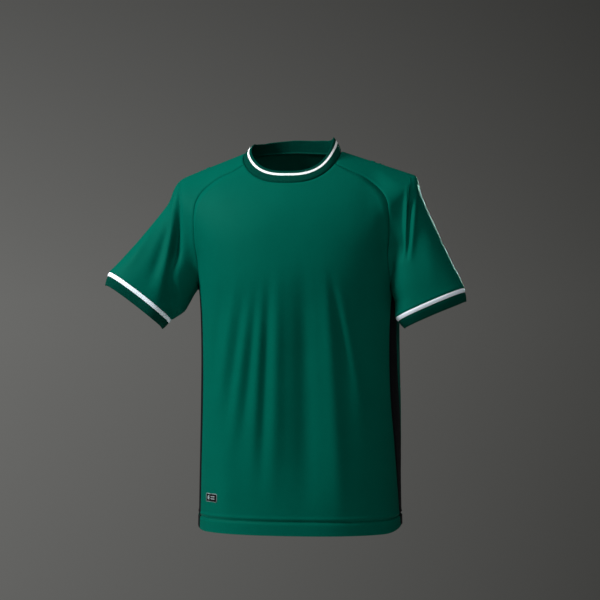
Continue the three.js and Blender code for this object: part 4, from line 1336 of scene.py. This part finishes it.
@dataclass(frozen=True)
class HemLabel:
    """The small woven patch by the hem: a dark ground, a pale border and three plain bars."""

    x: float = -136.8
    z: float = -638.0
    wide: float = 24.0
    tall: float = 15.4
    border: float = 0.9
    bars: tuple[tuple[float, float, float], ...] = ((-6.0, 4.0, 2.2), (3.0, 9.0, 2.0), (3.0, 9.0, -2.0))

    def on_cloth(self, x: np.ndarray, z: np.ndarray) -> tuple[np.ndarray, np.ndarray]:
        """Returns the front cloth's face behind points of the patch, and its outward directions."""
        flat = np.stack([x.ravel(), 0 * x.ravel(), z.ravel()], 1)
        on_form = FORM.cast_out(flat, np.array([0, -1, 0]), Part.TRUNK)
        n = FORM.outward(on_form, Part.TRUNK)
        laid = on_form + n * fold_height(on_form, n)[:, None]
        return laid, n

    def patch(self, name: str, outline: np.ndarray, low: float, high: float) -> bpy.types.Object:
        """Makes a thin raised plate whose outline is given round its middle, lying on the cloth."""
        steps = np.linspace(0, 1, 7)[1:]
        middle = outline.mean(0)
        rings = middle + (outline - middle)[None] * steps[:, None, None]
        flat = np.vstack([rings.reshape(-1, 2), middle[None]])
        laid, n = self.on_cloth(self.x + flat[:, 0], self.z + flat[:, 1])
        around = len(outline)
        edge = np.minimum(1, (1 - np.append(np.repeat(steps, around), 0)) * 6)
        top = laid + n * (low + (high - low) * (0.4 + 0.6 * np.sqrt(edge)))[:, None]
        bottom = laid + n * low
        i = np.arange(around)
        j = (i + 1) % around
        faces = [np.stack([k * around + i, (k + 1) * around + i, (k + 1) * around + j, k * around + j], 1)
                 for k in range(len(steps) - 1)]
        hub = len(steps) * around
        fan = np.stack([np.full(around // 2, hub), i[::2], i[1::2], (i[1::2] + 1) % around], 1)
        upper = np.vstack([*faces, fan])
        count = len(flat)
        outer = (len(steps) - 1) * around
        rim = np.stack([outer + i, outer + i + count, outer + j + count, outer + j], 1)
        both = np.vstack([upper, upper[:, ::-1] + count, rim])
        points = np.vstack([top, bottom])
        a, b, c = (points[both[:, k]] for k in range(3))
        if (a * np.cross(b, c)).sum() < 0:
            both = both[:, ::-1]
        uv = np.stack([np.tile(flat, (2, 1))[both[:, k]] for k in range(4)], 1)
        return make_object(name, points, both, uv)

    @staticmethod
    def rounded(wide: float, tall: float, radius: float, steps: int = 6) -> np.ndarray:
        """Returns a rounded rectangle's outline, from its middle."""
        corners = []
        for k, (sx, sz) in enumerate(((1, 1), (-1, 1), (-1, -1), (1, -1))):
            turns = np.linspace(0, math.pi / 2, steps) + k * math.pi / 2
            middle = np.array([sx * (wide / 2 - radius), sz * (tall / 2 - radius)])
            corners.append(middle + radius * np.stack([np.cos(turns), np.sin(turns)], 1))
        return np.vstack(corners)

    def build(self) -> None:
        """Adds the border, the ground on it and the bars on that, each a thin woven layer."""
        border = self.patch("label_border", self.rounded(self.wide, self.tall, 2.2), 0.15, 0.65)
        declare(border, LABEL_PALE, "")
        inset = 2 * self.border
        ground = self.patch("label_ground", self.rounded(self.wide - inset, self.tall - inset, 1.5), 0.4, 1.0)
        declare(ground, LABEL_DARK, "hem_label")
        for k, (x, wide, z) in enumerate(self.bars):
            tall = 7.0 if k == 0 else 1.8
            where = self.rounded(wide, tall, 0.8) + np.array([x, z if k else 0.0])
            declare(self.patch(f"label_bar_{k + 1}", where, 0.8, 1.3), LABEL_PALE, "")


@dataclass(frozen=True)
class Cut:
    """The size and area that a sheet was cut to, in metres, how it is held and what holds it."""

    flat: tuple[float, float]
    area: float
    held: str
    rests_on: tuple[str, ...]


def declare(piece: bpy.types.Object, finish: KnitFinish, node: str) -> None:
    """Gives a piece its material and its body, and hides the solid that it stands for."""
    piece.data.materials.append(MATERIALS[finish.name])
    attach(piece, "root")
    if node:
        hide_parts(node)
    area = sum(p.area for p in piece.data.polygons) / 2
    LOG.info("%s: %d faces, one layer %.4f square metres", piece.name, len(piece.data.polygons), area)


MATERIALS: dict[str, bpy.types.Material] = {}


def collar_band() -> bpy.types.Object:
    """Builds the rib collar, which stands up from the neck seam and leans in."""
    steps = 360
    turn = np.arange(steps) * 360 / steps
    foot = neck_seam(turn)
    n = FORM.outward(foot)
    inward = unit(np.stack([-foot[:, 0] / NECK.half**2, -foot[:, 1] / NECK.front**2, np.zeros(steps)], 1))
    stand = inward * column(COLLAR, "turn", "inset")(turn)[:, None]
    stand[:, 2] += column(COLLAR, "turn", "rise")(turn)
    height = np.linalg.norm(stand, axis=1)
    lean = unit(stand)
    face = unit(n - lean * (n * lean).sum(1, keepdims=True))
    along, away, v = rounded_band(COLLAR_DEEP, RIB_THICK, 1.6, 1.2)
    share = along / COLLAR_DEEP
    rings = foot[:, None] + lean[:, None] * (share[None, :, None] * height[:, None, None])
    rings = rings + face[:, None] * away[None, :, None]
    return loft("collar_rib", rings, lengths(foot + stand), v)


def cuff_bands(cut: SleeveCut, end: np.ndarray) -> tuple[bpy.types.Object, bpy.types.Object]:
    """Builds a sleeve's white tape and its rib cuff on the sleeve's own end."""
    n = FORM.outward(end, Part.SLEEVE)
    base = end + n * fold_height(end, n)[:, None]
    spoke = unit(end - np.array(cut.cuff))
    axis = cut.down + cut.out * cut.band_lean

    def ring(deep: np.ndarray, away: np.ndarray) -> np.ndarray:
        """Returns the band's rings at each depth below the sleeve and height off it."""
        step = axis[None] - spoke * cut.taper
        return base[:, None] + step[:, None] * deep[None, :, None] + n[:, None] * away[None, :, None]

    around = lengths(base)
    deep, away, v = rounded_band(TAPE_DEEP, CLOTH_THICK, 0.25, 0.7)
    tape = loft(f"cuff_tape_{cut.name}_white", ring(deep, away + 0.1), around, v)
    deep, away, v = rounded_band(CUFF_DEEP, RIB_THICK, 0.7, 0.9)
    cuff = loft(f"cuff_{cut.name}_rib", ring(deep + TAPE_DEEP, away), around, v)
    return tape, cuff


def main() -> None:
    """Builds and dresses every piece in order."""
    bpy.context.scene.view_settings.view_transform = "Standard"
    logging.basicConfig(level=logging.INFO, format="%(name)s: %(message)s")
    studio()
    for finish in (GREEN, BLACK, RIB, COLLAR_RIB, TAPE, LABEL_DARK, LABEL_PALE, THREAD):
        MATERIALS[finish.name] = finish.material()
    declare(lay_cloth("front_cloth", body_sheet(Face.FRONT, CELLS.front)), GREEN, "front")
    declare(lay_cloth("back_cloth", body_sheet(Face.BACK, CELLS.back)), GREEN, "back")
    for cut in (LEFT, RIGHT):
        grid = SleeveGrid(cut)
        declare(lay_cloth(f"sleeve_{cut.name}_cloth", grid.sheet()), GREEN, f"sleeve_{cut.name}")
        side = lay_cloth(f"side_{cut.name}_cloth", side_sheet(cut))
        declare(side, BLACK, f"side_panel_{cut.name}")
        tape, cuff = cuff_bands(cut, grid.rings[0])
        declare(tape, TAPE, f"cuff_tape_{cut.name}")
        declare(cuff, RIB, f"cuff_{cut.name}")
    declare(collar_band(), COLLAR_RIB, "collar")
    for k, up in enumerate(HEM.rows):
        declare(Stitching().build(f"hem_stitches_{k + 1}", *hem_line(up)), THREAD, "")
    HemLabel().build()


if __name__ == "__main__":
    main()
